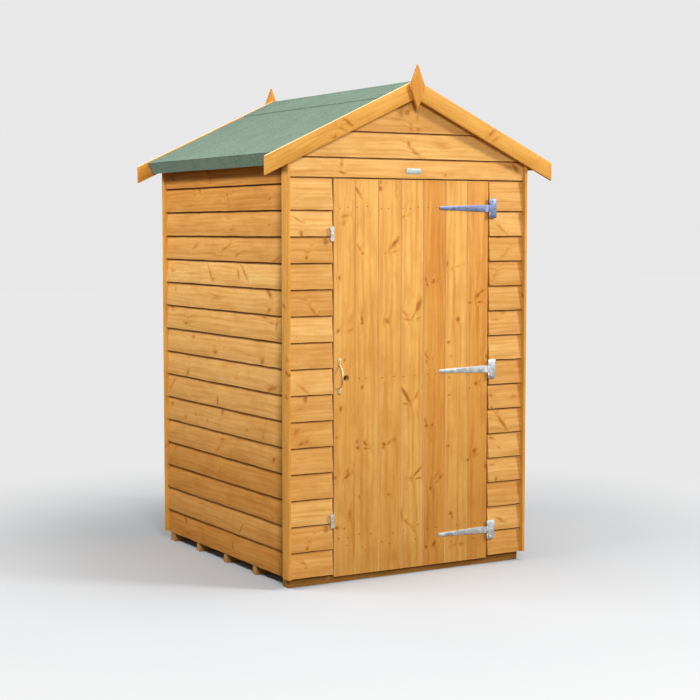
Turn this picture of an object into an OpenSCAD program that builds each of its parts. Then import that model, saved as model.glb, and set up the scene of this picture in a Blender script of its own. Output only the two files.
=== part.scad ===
// Small windowless garden shed with an apex roof, lapped board walls and one ledged door.
// Origin on the ground under the middle of the shed, +Z up, the door faces -Y.

/* [Walls] */
// Width over the outer faces of the two side wall frames
frame_w = 1108; // [1000:2:1400]
// Depth over the outer faces of the front and back wall frames
frame_d = 1170; // [1000:2:1400]
// Height of the side walls from the floor to the roof at the outer face of the frame
wall_h = 1746; // [1720:1:1800]
// Thickness of one lapped wall board
board_t = 12; // [8:0.5:14]
// Height of each lapped board that shows
lap_rise = 107; // [105:0.5:110]
// How far the wall boards reach down past the top of the floor
skirt = 10; // [4:1:11]
// Thickness of studs, rails and rafters across the wall
stud_t = 28; // [24:1:40]
// Width of studs and rails along the wall
stud_w = 28; // [20:1:45]
// Width of the two door posts
post_w = 60; // [50:1:80]
// Plumb depth of the gable rafters
rafter_h = 50; // [35:1:70]

/* [Base] */
// Height of the floor bearers
bearer_h = 38; // [34:1:60]
// Width of the three inner bearers
bearer_w = 30; // [24:1:50]
// Width of the front and back bearers
end_bearer_w = 45; // [30:1:70]
// How far each bearer runs out past the side frames
bearer_out = 20; // [0:1:24]
// Thickness of the floor
floor_t = 12; // [9:1:18]

/* [Roof] */
// Slope of the roof in degrees
roof_pitch = 25; // [18:1:32]
// How far the roof panels reach out past the side wall boards, measured level
eaves_out = 69; // [54:1:110]
// How far the roof panels reach out past the front edges of the corner trims
gable_out = 10; // [5:1:60]
// Thickness of the roof boarding
roof_t = 11; // [8:0.5:18]
// Thickness of the roofing felt
felt_t = 2.5; // [1.5:0.25:4]
// Depth of the battens under the eaves, square to the slope
eaves_h = 40; // [20:1:45]
// Width of the battens under the eaves, along the slope
eaves_w = 28; // [18:1:36]
// Depth of the battens under the ridge, square to the slope
ridge_h = 34; // [20:1:45]
// Width of the battens under the ridge, along the slope
ridge_w = 28; // [18:1:40]
// Reach of the felt capping down each side of the ridge, along the slope
cap_reach = 170; // [60:1:260]
// Distance between the two ridge battens and the ridge line, along the slope
ridge_gap = 24; // [20:1:60]

/* [Trim] */
// Thickness of the corner trims
trim_t = 12; // [8:1:18]
// Width of the corner trims
trim_w = 55; // [35:1:70]
// How far the corner trims stand out past the proud edge of the wall boards
trim_out = 13; // [4:1:16]
// Thickness of the bargeboards
barge_t = 14; // [10:1:20]
// Width of the bargeboards, square to the slope
barge_w = 69; // [60:1:95]
// How far the bargeboards stand above the felt, square to the slope
barge_rise = 5; // [0:0.5:12]
// How far the plumb ends of the bargeboards reach out past the roof panels
barge_out = 55; // [20:1:80]
// Thickness of the finials
finial_t = 14; // [8:1:20]
// Width of the finials
finial_w = 68; // [50:1:90]
// Height of the finials' points above the point of the bargeboards
finial_up = 61; // [30:1:100]
// Drop of the finials' lower points below the point of the bargeboards
finial_down = 122; // [90:1:150]

/* [Door] */
// Width of the strip of wall boards on the free side of the door
free_strip = 202; // [170:1:240]
// Width of the strip of wall boards on the hinged side of the door
hinge_strip = 175; // [150:1:220]
// How far the door reaches down past the top of the floor
door_drop = 22; // [12:1:26]
// Thickness of the door boards
door_t = 12; // [9:0.5:14]
// Number of door boards
door_boards_n = 7; // [5:1:9]
// Depth of the V grooves between the door boards
groove_d = 2; // [1:0.25:3]
// Gap between the back of the door and the door posts
door_back_gap = 5; // [5:0.5:8]
// Gap between the top of the door and the board over it
door_top_gap = 5; // [5:0.5:10]
// Gap between the door's free edge and the wall boards
free_gap = 9; // [6:0.5:14]
// Gap between the door's hinged edge and the wall boards
hinge_gap = 5; // [5:0.5:10]
// How far the door laps over each door post
door_lap = 28; // [20:1:34]
// Gap between the ledges and the door posts
ledge_gap = 8; // [7:0.5:14]
// Height of the door ledges
ledge_h = 72; // [50:1:100]
// Thickness of the door ledges and braces
ledge_t = 20; // [14:1:23]
// Width of the door braces along the ledges
brace_w = 80; // [50:1:110]
// Diameter of the lock hole
lock_d = 26; // [18:1:32]
// Distance from the door's free edge to the middle of the lock hole
lock_in = 58; // [56:1:70]
// Height of the lock hole below the middle of the middle ledge
lock_below = 8; // [0:1:14]

/* [Ironwork] */
// Thickness of the hinge plates and straps
iron_t = 2.5; // [2:0.25:3.5]
// Outer diameter of the hinge knuckles
knuckle_d = 9; // [8:0.5:12]
// Diameter of the hinge pins
pin_d = 5; // [4:0.25:6]
// Radial clearance of the hinge pins and the pivot screws in their bores
pin_clear = 0.08; // [0.02:0.01:0.1]
// Gap between neighbouring knuckles along the pin
knuckle_gap = 0.5; // [0.3:0.1:1]
// Height of the hinge plates
plate_h = 82; // [70:1:100]
// Width of the hinge plates beyond the pin
plate_w = 38; // [28:1:50]
// Length of the hinge straps from the pin to the tip
strap_l = 251; // [180:1:320]
// Width of the hinge straps at the pin
strap_w = 30; // [22:1:40]
// Width of the hinge straps at the tip
strap_tip_w = 15; // [10:1:20]
// How far the hinge pins stand inside the door's hinged edge
pin_in = 2; // [0:0.5:4]
// Length of a turn button from end to end
button_l = 60; // [52:1:70]
// Width of a turn button's rounded ends
button_w = 19; // [14:1:24]
// Width of a turn button's waist
button_waist = 11; // [8:0.5:14]
// Thickness of a turn button
button_t = 6; // [4:0.5:9]
// Height of a turn button's boss behind it
button_boss = 5; // [5:0.5:8]
// Diameter of a turn button's boss
boss_d = 16; // [12:0.5:18]
// Diameter of the turn buttons' pivot screws
pivot_d = 5; // [4:0.25:6]
// Distance from the wall boards' end to the pivot screws
pivot_in = 9; // [7:0.5:20]
// Length of the pull handle from end to end
pull_l = 148; // [120:1:200]
// How far the pull handle stands out from the door
pull_out = 30; // [26:1:45]
// Width of the pull handle's bow
pull_w = 9; // [7:0.5:14]
// Width of the pull handle's feet
pull_foot_w = 14; // [14:0.5:20]
// Thickness of the pull handle's bow
pull_t = 6; // [4:0.5:9]
// Length of the pull handle's feet
pull_foot = 22; // [16:1:28]
// Distance from the door's free edge to the middle of the pull handle
pull_in = 25; // [20:1:30]

/* [Hidden] */
// Every separate piece of the shed
$fn = 48;

// Heights
floor_top = bearer_h + floor_t;
clad_bottom = floor_top - skirt;
eaves_z = floor_top + wall_h;
rise = tan(roof_pitch);
ridge_z = eaves_z + frame_w / 2 * rise;

// Clearance between the roof panels and what carries them or hangs under them, and under the felt
roof_seat = 0.1;

// Lapped boards: the recessed and the proud level outside the frame
proud = 2 * board_t;
half_w = frame_w / 2 + proud;
half_d = frame_d / 2;
function lap_z(n) = clad_bottom + n * lap_rise;

// Number of lapped boards beside the door, and enough of them to pass the eaves and the ridge
head_room = 100;
strip_boards = floor((eaves_z - clad_bottom - head_room) / lap_rise);
side_boards = ceil((eaves_z - clad_bottom) / lap_rise) + 1;
gable_boards = ceil((ridge_z - clad_bottom) / lap_rise) + 1;

// The board over the door is cut higher than the others
head_cut = 25;
head_z = lap_z(strip_boards) + head_cut;

// Door and its levels, measured out from the front face of the frame
door_back = door_back_gap;
door_face = door_back + door_t;
strip_left = -half_w + free_strip;
strip_right = half_w - hinge_strip;
door_left = -strip_left - free_gap;
door_right = strip_right - hinge_gap;
door_z0 = floor_top - door_drop;
door_z1 = head_z - door_top_gap;
door_w = door_left + door_right;
post_left = -door_left + door_lap;
post_right = door_right - door_lap;
ledge_x0 = post_left + ledge_gap;
ledge_x1 = post_right - ledge_gap;
head_rail_h = 50;
head_rail_z = door_z1 - door_lap;

// Hinges sit on the proud edges of the lapped boards
pin_x = door_right - pin_in;
pin_level = proud + knuckle_d / 2;
hinge_z = [lap_z(strip_boards - 1) + 11, lap_z(ceil(strip_boards / 2)) - 39, lap_z(1) + 6];
crank = 14;

// Turn buttons sit just over the proud edges of the lapped boards
button_z = [lap_z(strip_boards - 2) + 10, lap_z(2) + 11];
button_x = strip_left - pivot_in;
button_back = proud + 0.3;
button_face = button_back + button_boss + button_t;
pivot_head_t = 3;
pivot_gap = 0.3;

// Trims and roof edges
trim_front = half_d + proud + trim_out;
roof_half = trim_front + gable_out;
roof_run = (half_w + eaves_out) / cos(roof_pitch);
barge_end = half_w + eaves_out + barge_out;
barge_face = roof_half + barge_t;
barge_top = roof_t + felt_t + barge_rise;
barge_z = ridge_z + barge_top / cos(roof_pitch);

pine = "#e8b468";
pine_dark = "#cd914b";
frame_wood = "#e0bd84";
green = "#87a591";
zinc = "#c8cdd2";

// Stands a flat X-Z outline up, with its thickness running from level a to level b forward of y0
module upright(y0, a, b) {
  translate([0, y0 - a, 0]) rotate([90, 0, 0]) linear_extrude(b - a) children();
}

// Box from one corner to the other
module box(p, q) {
  translate(p) cube(q - p);
}

// Everything under the roof panels, as an X-Z outline
module under_roof(x_max, z_min) {
  top = ridge_z - roof_seat;
  polygon([[-x_max, z_min], [x_max, z_min], [x_max, top - x_max * rise], [0, top], [-x_max, top - x_max * rise]]);
}

// Saw-tooth section of lapped boards: levels run along +X, heights along +Y
module lap_section(heights) {
  n = len(heights) - 1;
  polygon(concat(
    [[0, heights[0]]],
    [for (i = [0 : n - 1]) each [[proud, heights[i]], [board_t, heights[i + 1]]]],
    [[0, heights[n]]]));
}

// Lapped boards on the front wall between two X positions
module front_laps(x0, x1, heights) {
  translate([x0, -half_d, 0]) rotate([90, 0, 90]) linear_extrude(x1 - x0)
    mirror([1, 0]) lap_section(heights);
}

function laps(a, b) = [for (i = [a : b]) lap_z(i)];
gable_laps = concat([head_z], laps(strip_boards + 1, gable_boards));

module bearers() {
  color(pine_dark) {
    bearer_x = frame_w / 2 + bearer_out;
    for (s = [-1, 1]) {
      y = s * (half_d - end_bearer_w / 2);
      box([-bearer_x, y - end_bearer_w / 2, 0], [bearer_x, y + end_bearer_w / 2, bearer_h]);
    }
    for (i = [-1, 0, 1]) {
      y = i * (frame_d - end_bearer_w) / 4;
      box([-bearer_x, y - bearer_w / 2, 0], [bearer_x, y + bearer_w / 2, bearer_h]);
    }
  }
}

module floor_panel() {
  color(frame_wood) box([-frame_w / 2, -half_d, bearer_h], [frame_w / 2, half_d, floor_top]);
}

// Side wall boards, drawn on the right and clipped under the roof; they run past the ends of the back boards
module side_cladding() {
  color(pine_dark) intersection() {
    translate([frame_w / 2, half_d + proud, 0]) rotate([90, 0, 0]) linear_extrude(frame_d + proud)
      lap_section(laps(0, side_boards));
    upright(0, -half_d - proud, half_d) under_roof(half_w + 10, 0);
  }
}

module back_wall_cladding() {
  color(pine_dark) intersection() {
    mirror([0, 1, 0]) front_laps(-frame_w / 2, frame_w / 2, laps(0, gable_boards));
    upright(0, -half_d - proud, half_d + proud) under_roof(half_w, 0);
  }
}

// Clearance hole for a pivot screw through the wall boards
module pivot_hole(z) {
  translate([button_x, -half_d, z]) rotate([90, 0, 0])
    cylinder(d = pivot_d + 2 * pin_clear, h = 2 * (proud + 5), center = true);
}

module front_left_cladding() {
  color(pine) difference() {
    front_laps(-half_w, strip_left, concat(laps(0, strip_boards - 1), [head_z]));
    for (z = button_z) pivot_hole(z);
  }
}

module front_right_cladding() {
  color(pine) front_laps(strip_right, half_w, concat(laps(0, strip_boards - 1), [head_z]));
}

module front_gable_cladding() {
  color(pine) intersection() {
    front_laps(-half_w, half_w, gable_laps);
    upright(0, -half_d - proud, half_d + proud) under_roof(half_w, 0);
  }
}

// Side wall framing, drawn on the right
side_y = half_d - stud_t;
plate_z = eaves_z - rafter_h;

module side_studs() {
  color(frame_wood) for (y = [-side_y + stud_w / 2, 0, side_y - stud_w / 2])
    box([frame_w / 2 - stud_t, y - stud_w / 2, floor_top + stud_w], [frame_w / 2, y + stud_w / 2, plate_z]);
}

module side_rails() {
  color(frame_wood) {
    box([frame_w / 2 - stud_t, -side_y, floor_top], [frame_w / 2, side_y, floor_top + stud_w]);
    intersection() {
      box([frame_w / 2 - stud_t, -side_y, plate_z], [frame_w / 2, side_y, eaves_z + stud_t]);
      upright(0, -half_d, half_d) under_roof(half_w, 0);
    }
  }
}

// Outline under the gable rafters
module under_rafters() {
  translate([0, -rafter_h]) under_roof(half_w, 0);
}

module back_wall_studs() {
  color(frame_wood) intersection() {
    for (x = [-frame_w / 2 + stud_w / 2, 0, frame_w / 2 - stud_w / 2])
      box([x - stud_w / 2, side_y, floor_top + stud_w],
        [x + stud_w / 2, half_d, x == 0 ? head_rail_z : ridge_z]);
    upright(0, -half_d, half_d) under_rafters();
  }
}

module back_wall_rails() {
  color(frame_wood) {
    box([-frame_w / 2, side_y, floor_top], [frame_w / 2, half_d, floor_top + stud_w]);
    box([-frame_w / 2 + stud_w, side_y, head_rail_z], [frame_w / 2 - stud_w, half_d, head_rail_z + head_rail_h]);
  }
}

module front_wall_posts() {
  color(frame_wood) {
    intersection() {
      for (s = [-1, 1]) {
        x = s * (frame_w / 2 - stud_w / 2);
        box([x - stud_w / 2, -half_d, floor_top], [x + stud_w / 2, -side_y, ridge_z]);
      }
      upright(0, -half_d, half_d) under_rafters();
    }
    box([post_left - post_w, -half_d, floor_top], [post_left, -side_y, head_rail_z]);
    box([post_right, -half_d, floor_top], [post_right + post_w, -side_y, head_rail_z]);
  }
}

module front_sole_rails() {
  color(frame_wood) {
    box([-frame_w / 2 + stud_w, -half_d, floor_top], [post_left - post_w, -side_y, floor_top + stud_w]);
    box([post_right + post_w, -half_d, floor_top], [frame_w / 2 - stud_w, -side_y, floor_top + stud_w]);
  }
}

module front_head_rail() {
  color(frame_wood) box([-frame_w / 2 + stud_w, -half_d, head_rail_z],
    [frame_w / 2 - stud_w, -side_y, head_rail_z + head_rail_h]);
}

// Pair of gable rafters in the front wall, plumb cut at the apex
rafter_joint = 1;

module rafter_pair() {
  color(frame_wood) difference() {
    upright(-side_y, 0, stud_t) difference() {
      under_roof(frame_w / 2, floor_top);
      under_rafters();
    }
    box([-rafter_joint / 2, -half_d - 1, 0], [rafter_joint / 2, -side_y + 1, ridge_z + 1]);
  }
}

// Corner trim on the front right corner
module corner_trim() {
  color(pine) intersection() {
    box([half_w, -trim_front, clad_bottom], [half_w + trim_t, -trim_front + trim_w, ridge_z]);
    upright(0, -trim_front, trim_front) under_roof(half_w + trim_t + 1, 0);
  }
}

// Corner trim on the back right corner, flat on the back, over the ends of the side boards
module back_trim() {
  trim_x = half_w + trim_t;
  color(pine) intersection() {
    box([trim_x - trim_w, half_d + proud, clad_bottom], [trim_x, trim_front, ridge_z]);
    upright(0, -trim_front, trim_front) under_roof(trim_x + 1, 0);
  }
}

// A point of the right roof slope as [X, Z]: run down the slope and height square to it
function slope_point(run, h) =
  [run * cos(roof_pitch) + h * sin(roof_pitch), ridge_z - run * sin(roof_pitch) + h * cos(roof_pitch)];

// A point on the ridge line at a height square to the slope
function ridge_point(h) = [0, ridge_z + h / cos(roof_pitch)];

// Batten along the right slope between two runs, hung under the roof panel
module slope_batten(run_0, run_1, depth, half_len) {
  upright(0, -half_len, half_len)
    polygon([slope_point(run_0, -depth), slope_point(run_1, -depth),
      slope_point(run_1, -roof_seat), slope_point(run_0, -roof_seat)]);
}

module roof_panel() {
  color(frame_wood) upright(0, -roof_half, roof_half)
    polygon([ridge_point(0), slope_point(roof_run, 0), slope_point(roof_run, roof_t), ridge_point(roof_t)]);
}

module eaves_batten() {
  color(pine_dark) slope_batten(roof_run - eaves_w, roof_run, eaves_h, roof_half);
}

module ridge_batten() {
  color(frame_wood) slope_batten(ridge_gap, ridge_gap + ridge_w, ridge_h, side_y);
}

// Felt over both sides, turned down over the edges of the eaves, with the capping over the ridge
felt_top = roof_t + felt_t;
cap_top = felt_top + felt_t;
felt_in = roof_run + roof_seat;
felt_out = felt_in + felt_t;
half_felt = [
  slope_point(cap_reach, cap_top), slope_point(cap_reach, felt_top), slope_point(felt_out, felt_top),
  slope_point(felt_out, -eaves_h), slope_point(felt_in, -eaves_h), slope_point(felt_in, roof_t + roof_seat)
];

module roof_felt() {
  color(green) upright(0, -roof_half, roof_half) polygon(concat(
    [ridge_point(cap_top)],
    half_felt,
    [ridge_point(roof_t + roof_seat)],
    [for (i = [len(half_felt) - 1 : -1 : 0]) [-half_felt[i].x, half_felt[i].y]]));
}

// Bargeboard on the front right edge of the roof
module bargeboard() {
  drop = barge_w / cos(roof_pitch);
  color(pine) upright(0, roof_half, barge_face)
    polygon([[0, barge_z - drop], [barge_end, barge_z - drop - barge_end * rise],
      [barge_end, barge_z - barge_end * rise], [0, barge_z]]);
}

// Diamond finial over the joint of the front bargeboards
module finial() {
  mid_z = barge_z + (finial_up - finial_down) / 2;
  color(pine) upright(0, barge_face, barge_face + finial_t)
    polygon([[0, barge_z - finial_down], [finial_w / 2, mid_z], [0, barge_z + finial_up], [-finial_w / 2, mid_z]]);
}

// Door boards in plan, with a V groove in the face at each joint
module door_plan() {
  face = -half_d - door_face;
  pitch = door_w / door_boards_n;
  polygon(concat(
    [[-door_left, face]],
    [for (i = [1 : door_boards_n - 1]) each [
      [-door_left + i * pitch - groove_d, face],
      [-door_left + i * pitch, face + groove_d],
      [-door_left + i * pitch + groove_d, face]]],
    [[door_right, face], [door_right, -half_d - door_back], [-door_left, -half_d - door_back]]));
}

module door_boards() {
  color(pine) difference() {
    translate([0, 0, door_z0]) linear_extrude(door_z1 - door_z0) door_plan();
    lock_bore();
  }
}

lock_x = -door_left + lock_in;
lock_z = hinge_z[1] - lock_below;

module lock_bore() {
  translate([lock_x, -half_d, lock_z]) rotate([90, 0, 0])
    cylinder(d = lock_d, h = 2 * (door_face + ledge_t), center = true);
}

// Door ledge behind one hinge
module door_ledge(z) {
  box([ledge_x0, -half_d - door_back, z - ledge_h / 2], [ledge_x1, -half_d - door_back + ledge_t, z + ledge_h / 2]);
}

// Brace rising from the hinged side of the lower ledge to the free side of the upper one
module door_brace(z_low, z_high) {
  upright(-half_d - door_back + ledge_t, 0, ledge_t)
    polygon([[ledge_x1 - brace_w, z_low + ledge_h / 2], [ledge_x1, z_low + ledge_h / 2],
      [ledge_x0 + brace_w, z_high - ledge_h / 2], [ledge_x0, z_high - ledge_h / 2]]);
}

// Strap half of a tee hinge, with the middle knuckle
module hinge_strap(z) {
  root_x = pin_x - crank;
  tip_x = pin_x - strap_l + strap_tip_w / 2;
  color(zinc) difference() {
    union() {
      upright(-half_d, door_face, door_face + iron_t) {
        polygon([[root_x, z - strap_w / 2], [root_x, z + strap_w / 2],
          [tip_x, z + strap_tip_w / 2], [tip_x, z - strap_tip_w / 2]]);
        translate([tip_x, z]) circle(d = strap_tip_w);
      }
      // Crank up to the knuckle
      translate([0, -half_d, z - strap_w / 2]) linear_extrude(strap_w)
        polygon([[root_x - 0.01, -door_face], [root_x + iron_t, -door_face],
          [pin_x - knuckle_d / 4, -proud], [pin_x, -proud], [pin_x, -proud - iron_t],
          [pin_x - knuckle_d / 2, -proud - iron_t], [root_x, -door_face - iron_t], [root_x - 0.01, -door_face - iron_t]]);
      translate([pin_x, -half_d - pin_level, z - strap_w / 2]) cylinder(d = knuckle_d, h = strap_w);
    }
    translate([pin_x, -half_d - pin_level, z - strap_w]) cylinder(d = pin_d + 2 * pin_clear, h = 2 * strap_w);
  }
}

// Plate half of a tee hinge, with the two outer knuckles and the pin
module hinge_plate(z) {
  inner_h = strap_w / 2 + knuckle_gap;
  knuckle_h = plate_h / 2 - inner_h;
  clear_x = pin_x + knuckle_d / 2 + 1;
  color(zinc) union() {
    box([clear_x, -half_d - proud - iron_t, z - plate_h / 2], [pin_x + plate_w, -half_d - proud, z + plate_h / 2]);
    for (s = [-1, 1]) {
      zc = z + s * (inner_h + knuckle_h / 2);
      translate([pin_x, -half_d - pin_level, zc]) cylinder(d = knuckle_d, h = knuckle_h, center = true);
      box([pin_x, -half_d - proud - iron_t, zc - knuckle_h / 2], [clear_x + 1, -half_d - proud, zc + knuckle_h / 2]);
    }
    translate([pin_x, -half_d - pin_level, z]) cylinder(d = pin_d, h = plate_h, center = true);
  }
}

// Turn button: rounded ends, narrow waist and a round boss on the pivot
module turn_button(z) {
  end = button_l / 2 - button_w / 2;
  color(zinc) translate([button_x, -half_d - button_back, z]) rotate([90, 0, 0]) difference() {
    union() {
      cylinder(d = boss_d, h = button_boss + button_t);
      translate([0, 0, button_boss]) linear_extrude(button_t) {
        square([button_waist, 2 * end], center = true);
        for (s = [-1, 1]) translate([0, s * end]) circle(d = button_w);
      }
    }
    translate([0, 0, -1]) cylinder(d = pivot_d + 2 * pin_clear, h = button_boss + button_t + 2);
  }
}

// Screws that the turn buttons turn on
module pivot_screws() {
  color(zinc) for (z = button_z) {
    translate([button_x, -half_d, z]) rotate([90, 0, 0]) cylinder(d = pivot_d, h = button_face + pivot_gap + 1);
    translate([button_x, -half_d - button_face - pivot_gap, z]) rotate([90, 0, 0])
      cylinder(d = 2 * pivot_d, h = pivot_head_t);
  }
}

// Bow handle on two flat feet
module pull_handle() {
  x = -door_left + pull_in;
  half_bow = pull_l / 2 - pull_foot + pull_t;
  r = (half_bow * half_bow + pull_out * pull_out) / (2 * pull_out);
  color(zinc) translate([x, -half_d - door_face, hinge_z[1]]) rotate([90, 0, 90]) mirror([1, 0, 0]) {
    linear_extrude(pull_w, center = true) intersection() {
      difference() {
        translate([pull_out - r, 0]) circle(r = r, $fn = 96);
        translate([pull_out - r, 0]) circle(r = r - pull_t, $fn = 96);
      }
      translate([0, -pull_l / 2]) square([pull_out + 1, pull_l]);
    }
    for (s = [-1, 1]) translate([iron_t / 2, s * (pull_l / 2 - pull_foot / 2), 0])
      cube([iron_t, pull_foot, pull_foot_w], center = true);
  }
}

bearers();
floor_panel();  // floor
mirror([1, 0, 0]) side_cladding();  // left_wall_cladding
side_cladding();  // right_wall_cladding
back_wall_cladding();
front_left_cladding();
front_right_cladding();
front_gable_cladding();
mirror([1, 0, 0]) side_studs();  // left_wall_studs
mirror([1, 0, 0]) side_rails();  // left_wall_rails
side_studs();  // right_wall_studs
side_rails();  // right_wall_rails
back_wall_studs();
back_wall_rails();
front_wall_posts();
front_sole_rails();
front_head_rail();
rafter_pair();  // front_rafters
mirror([0, 1, 0]) rafter_pair();  // back_rafters
mirror([1, 0, 0]) corner_trim();  // front_left_trim
corner_trim();  // front_right_trim
mirror([1, 0, 0]) back_trim();  // back_left_trim
back_trim();  // back_right_trim
mirror([1, 0, 0]) roof_panel();  // roof_panel_left
roof_panel();  // roof_panel_right
mirror([1, 0, 0]) eaves_batten();  // eaves_batten_left
eaves_batten();  // eaves_batten_right
union() { ridge_batten(); mirror([1, 0, 0]) ridge_batten(); }  // ridge_battens
roof_felt();
mirror([1, 0, 0]) bargeboard();  // bargeboard_front_left
bargeboard();  // bargeboard_front_right
rotate([0, 0, 180]) bargeboard();  // bargeboard_back_left
mirror([0, 1, 0]) bargeboard();  // bargeboard_back_right
finial();  // finial_front
mirror([0, 1, 0]) finial();  // finial_back
door_boards();
color(frame_wood) door_ledge(hinge_z[0]);  // door_ledge_top
color(frame_wood) difference() { door_ledge(hinge_z[1]); lock_bore(); }  // door_ledge_middle
color(frame_wood) door_ledge(hinge_z[2]);  // door_ledge_bottom
color(frame_wood) door_brace(hinge_z[1], hinge_z[0]);  // door_brace_upper
color(frame_wood) door_brace(hinge_z[2], hinge_z[1]);  // door_brace_lower
pull_handle();
hinge_strap(hinge_z[0]);  // hinge_strap_top
hinge_strap(hinge_z[1]);  // hinge_strap_middle
hinge_strap(hinge_z[2]);  // hinge_strap_bottom
hinge_plate(hinge_z[0]);  // hinge_plate_top
hinge_plate(hinge_z[1]);  // hinge_plate_middle
hinge_plate(hinge_z[2]);  // hinge_plate_bottom
turn_button(button_z[0]);  // turn_button_upper
turn_button(button_z[1]);  // turn_button_lower
pivot_screws();
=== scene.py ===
import math
import random

import bmesh
import bpy
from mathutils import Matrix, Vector


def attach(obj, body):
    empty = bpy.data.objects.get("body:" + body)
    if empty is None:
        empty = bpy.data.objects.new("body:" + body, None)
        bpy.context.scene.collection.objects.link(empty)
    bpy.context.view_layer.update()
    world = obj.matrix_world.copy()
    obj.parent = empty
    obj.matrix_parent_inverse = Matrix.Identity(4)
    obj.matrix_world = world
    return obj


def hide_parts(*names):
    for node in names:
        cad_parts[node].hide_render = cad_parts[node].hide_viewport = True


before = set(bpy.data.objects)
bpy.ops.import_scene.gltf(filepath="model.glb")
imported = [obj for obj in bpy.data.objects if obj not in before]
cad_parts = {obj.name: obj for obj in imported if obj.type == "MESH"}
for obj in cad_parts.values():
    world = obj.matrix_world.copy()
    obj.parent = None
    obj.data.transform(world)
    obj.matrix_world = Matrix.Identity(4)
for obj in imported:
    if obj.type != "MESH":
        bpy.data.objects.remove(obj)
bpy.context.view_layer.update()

# Small garden shed: lapped pine boards, a felted apex roof and one ledged door on tee hinges.
# The ground is at z = 0 under the middle of the shed and the door faces -Y. Sizes here are in mm.
MM = 0.001

# Walls: half sizes over the frame, and the two levels of the lapped boards outside it
HALF_W, HALF_D = 554.0, 585.0
BOARD_T, PROUD = 12.0, 24.0
OUT_X, OUT_Y = HALF_W + PROUD, HALF_D + PROUD
CLAD_BOTTOM, LAP, HEAD_Z = 40.0, 107.0, 1670.0
SIDE_BOARDS, STRIP_BOARDS, GABLE_BOARDS = 17, 15, 19
HIDDEN_LAP, LAP_PLAY, THIN_END = 14.0, 0.3, 8.0
STRIP_LEFT, STRIP_RIGHT = -376.0, 403.0
BOARD_EASE, EDGE_WANDER = 1.3, 0.9
# Nearness to the front trims, for the painted shadow that they cast, is counted on the side boards from this far behind
# the frame's front
TRIM_SHADOW_REACH = 160.0

# Framing and base
STUD, INNER_Y = 28.0, 557.0
FLOOR_TOP, PLATE_Z, RAIL_Z0, RAIL_Z1, RAFTER = 50.0, 1746.0, 1637.0, 1687.0, 50.0
POSTS = ((-399.0, -339.0), (370.0, 430.0))
BEARER_X, BEARER_H = 574.0, 38.0
BEARERS = ((-562.5, 22.5), (-281.25, 15.0), (0.0, 15.0), (281.25, 15.0), (562.5, 22.5))

# Roof: everything on a slope is measured down the slope and square to it, from the ridge line
PITCH = math.radians(25)
EAVES_Z, OVERHANG = 1796.0, 69.0
RIDGE_Z = EAVES_Z + HALF_W * math.tan(PITCH)
ROOF_RUN = (OUT_X + OVERHANG) / math.cos(PITCH)
ROOF_Y, SEAT = 632.0, 0.1
PANEL_T, FELT_T, CAP_RUN, EAVES_DEPTH = 11.0, 2.5, 170.0, 40.0
FOLD_R, FELT_WAVE, FELT_WANDER = 2.2, 0.5, 0.8
EAVES_BATTEN, RIDGE_BATTEN, RIDGE_DEPTH = 28.0, (24.0, 52.0), 34.0
BARGE_T, BARGE_TOP, BARGE_W, BARGE_X = 14.0, 18.5, 69.0, 702.0
BARGE_Z = RIDGE_Z + BARGE_TOP / math.cos(PITCH)
FINIAL_T, FINIAL_HALF, FINIAL_UP, FINIAL_DOWN = 14.0, 36.72, 61.0, 122.0
TRIM_T, TRIM_W, TRIM_Y, TRIM_EASE, TRIM_TONE = 12.0, 55.0, 622.0, 1.8, 0.75
# From and to, down the slope, before they are sawn to length
RAFTER_ROUGH, BARGE_ROUGH = (-30.0, 640.0), (-40.0, 860.0)

# Door
DOOR_X0, DOOR_X1, DOOR_Z0, DOOR_Z1 = -367.0, 398.0, 28.0, 1665.0
DOOR_FACE, DOOR_BACK, LEDGE_BACK = -602.0, -590.0, -570.0
DOOR_JOINTS = (-265.8, -154.8, -43.8, 67.2, 178.2, 289.2)
JOINT_PLAY, V_CHAMFER, CHAMFER_HIGHLIGHT, TONGUE_HALF, TONGUE_Y = 0.45, 3.0, 0.4, 4.0, (5.5, 8.5)
LEDGE_X0, LEDGE_X1, LEDGE_HALF, LEDGE_CHAMFER, BRACE_W = -331.0, 362.0, 36.0, 4.0, 80.0
LEDGES = {"top": 1549.0, "middle": 857.0, "bottom": 153.0}
LOCK_X, LOCK_Z, LOCK_R = -309.0, 849.0, 13.0

# Ironwork
PIN_X, PIN_Y, KNUCKLE_R = 396.0, -613.5, 4.5
IRON_T, STRAP_ROOT, STRAP_TIP, STRAP_HALF, TIP_HALF = 2.5, 382.0, 145.0, 15.0, 7.5
PLATE_X, PLATE_HALF, PLATE_CORNER = 434.0, 41.0, 5.0
STRAP_SCREWS, PLATE_SCREWS = (162, 222, 290, 362), ((413, 30), (424, 0), (413, -30))
BUTTON_X, BUTTON_BACK, BUTTON_FACE = -385.0, -609.3, -620.3
BUTTON_HALF_W, BUTTON_HALF_L, BUTTON_WAIST, BOSS_R, SHANK_R = 9.5, 30.0, 0.58, 8.0, 2.5
BUTTONS = {"upper": 1441.0, "lower": 265.0}
PULL_X, PULL_Z, PULL_HALF, PULL_ROD = -342.0, 857.0, 74.0, 3.9
PULL_FOOT, PULL_FOOT_HALF, PULL_SCREW = 30.0, 7.0, 66.0
# The bow's route: height from the middle of the pull, and how far out from the door
PULL_BOW = ((-47, 1.5), (-37, 15), (-20, 25), (20, 25), (37, 15), (47, 1.5))
BLANK_X, BLANK_Z, BLANK_LEVELS, BLANK_CORNER = (-24, 50), (1688, 1712), (23.0, 17.0), 7.0

# How many knots a board of each kind can have, and how far from every knot clear wood is, in knot sizes
LAPPED_KNOTS, DOOR_KNOTS, OTHER_KNOTS = 8, 16, 5
CLEAR = 9.0
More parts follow.
